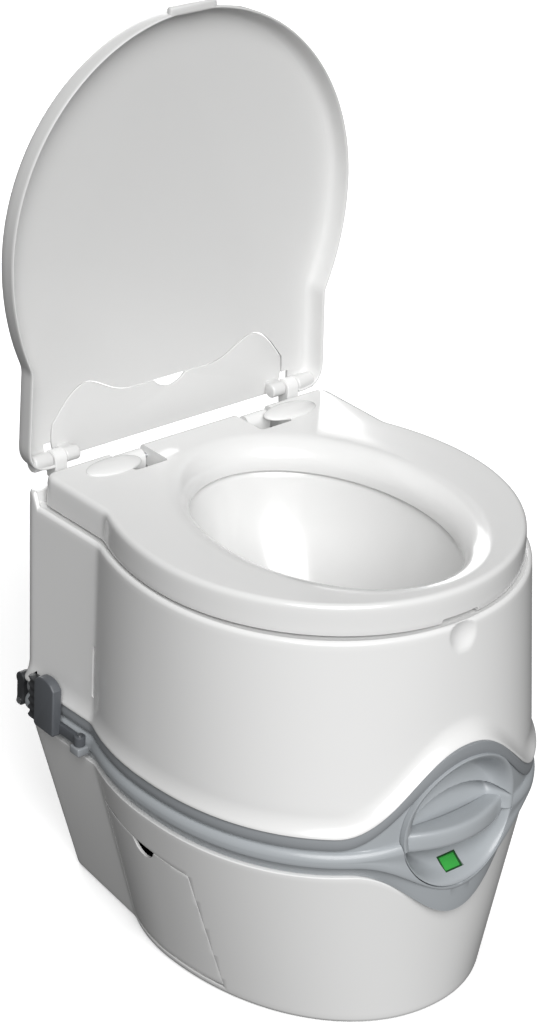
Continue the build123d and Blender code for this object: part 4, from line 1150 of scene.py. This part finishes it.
def collar_lugs():
    """The collar's lugs for the latch pins and the carry handle's pins."""
    lugs = None
    for side in (-1, 1):
        for near, far, *rest in (LATCH_LUG, HANDLE_LUG):
            lug = box_object("collar_lugs", *span(side, near, far), *rest)
            soften(lug, 1.6, 3)
            if lugs is None:
                lugs = lug
            else:
                carve(lugs, lug, "UNION")
    return settle(lugs, "lower_unit", STRIP)


collar_lugs()


CLIP_X = (182.5, 193.0)
CLIP_TOP = ((151.0, 239.0), (157.0, 245.0), (167.0, 247.0), (176.0, 244.6), (181.0, 239.0))  # y, z
CLIP_FOOT = ((181.0, 194.0), (179.0, 191.6), (151.0, 191.0))
LATCH_ARM_X = (179.5, 185.0)
LATCH_PIN = (181.5, 124.0)


def latch(side, name, body, node):
    """A clip block with a rounded top on a thin arm that turns about its pin."""
    outline = [tuple(p) for p in spline(CLIP_TOP, 16)] + list(CLIP_FOOT)
    clip = prism_object(name, outline, sweep_x, *span(side, *CLIP_X))
    soften(clip, 1.7, 3, 45)
    arm = box_object("arm", *span(side, *LATCH_ARM_X), 122, 160, 193, 203)
    soften(arm, 1.0, 2)
    carve(clip, arm, "UNION")
    profile = pin_profile(5.5, 193.0, 203.0, 0.8)
    eye = new_object("eye", *lathe(profile, (side * LATCH_PIN[0], LATCH_PIN[1], 0.0), (0, 0, 1), 40))
    carve(clip, eye, "UNION")
    return settle(clip, body, LATCH, [node])


GRIP_FOOT, GRIP_TOP = 189.0, 238.0
GRIP_NEAR_X, GRIP_FRONT_Y = 182.2, 179.0
GRIP_BULGE = 5.0
RIDGE_DEPTH, RIDGE_COUNT = 1.3, 6


def latch_grip(side, name, body):
    """The ridged dark thumb grip behind the clip block."""
    rings = []
    for z in np.linspace(GRIP_FOOT, GRIP_TOP, 99):
        share = (z - GRIP_FOOT) / (GRIP_TOP - GRIP_FOOT)
        ridge = RIDGE_DEPTH * (0.5 + 0.5 * cos(2 * pi * share * RIDGE_COUNT)) ** 0.7
        ends = smooth(share, 0.0, 0.08) * (1 - smooth(share, 0.92, 1.0))
        out = 184.0 + GRIP_BULGE * ends - ridge * ends
        rear = 194.0 + GRIP_BULGE * ends - ridge * ends
        section = ((GRIP_NEAR_X, GRIP_FRONT_Y), (out, GRIP_FRONT_Y), (out, rear - 6.0),
                   (out - 1.6, rear - 1.8), (out - 4.4, rear), (GRIP_NEAR_X, rear))
        rings.append(np.array([(side * x, y, z) for x, y in section]))
    grip = new_object(name, *loft_mesh(rings, cap_first=True, cap_last=True))
    return settle(grip, body, DARK, sharp=50)


for latch_side, word in ((-1, "left"), (1, "right")):
    latch(latch_side, "latch_clip_" + word, word + "_latch", "latch_" + word)
    latch_grip(latch_side, "latch_grip_" + word, word + "_latch")


HANDLE_HALF, HANDLE_R = 172.5, 6.5
HANDLE_ARM_X = (162.5, HANDLE_HALF)
HANDLE_Y, HANDLE_Z, HANDLE_PIVOT_Z = 231.0, 210.0, 186.0
HANDLE_RIDGE = 0.9


def carry_handle():
    """A round rear bar with ridged ends on two rounded arms."""
    half = HANDLE_HALF
    profile = pin_profile(HANDLE_R, -half, half, 1.5)
    ridged = []
    for along in np.arange(-half + 3, half - 2.9, 1.0):
        near_end = smooth(abs(along), 118, 124) * (1 - smooth(abs(along), 160, 165))
        ridged.append((HANDLE_R - HANDLE_RIDGE * near_end * (0.5 + 0.5 * cos(2 * pi * along / 7)), along))
    profile = profile[:5] + ridged + profile[5:]
    bar = new_object("carry_handle_bar", *lathe(profile, (0, HANDLE_Y, HANDLE_Z), (1, 0, 0), 40))
    for side in (-1, 1):
        arm = box_object("arm", *span(side, *HANDLE_ARM_X), 226, 236, 186, 209)
        soften(arm, 1.8, 3)
        carve(bar, arm, "UNION")
        profile = pin_profile(5.0, *HANDLE_ARM_X, 1.0)
        boss = new_object("boss", *lathe(profile, (0, HANDLE_Y, HANDLE_PIVOT_Z), (side, 0, 0), 32))
        carve(bar, boss, "UNION")
    return settle(bar, "carry_handle_body", DARK, ["carry_handle"], sharp=50)


carry_handle()
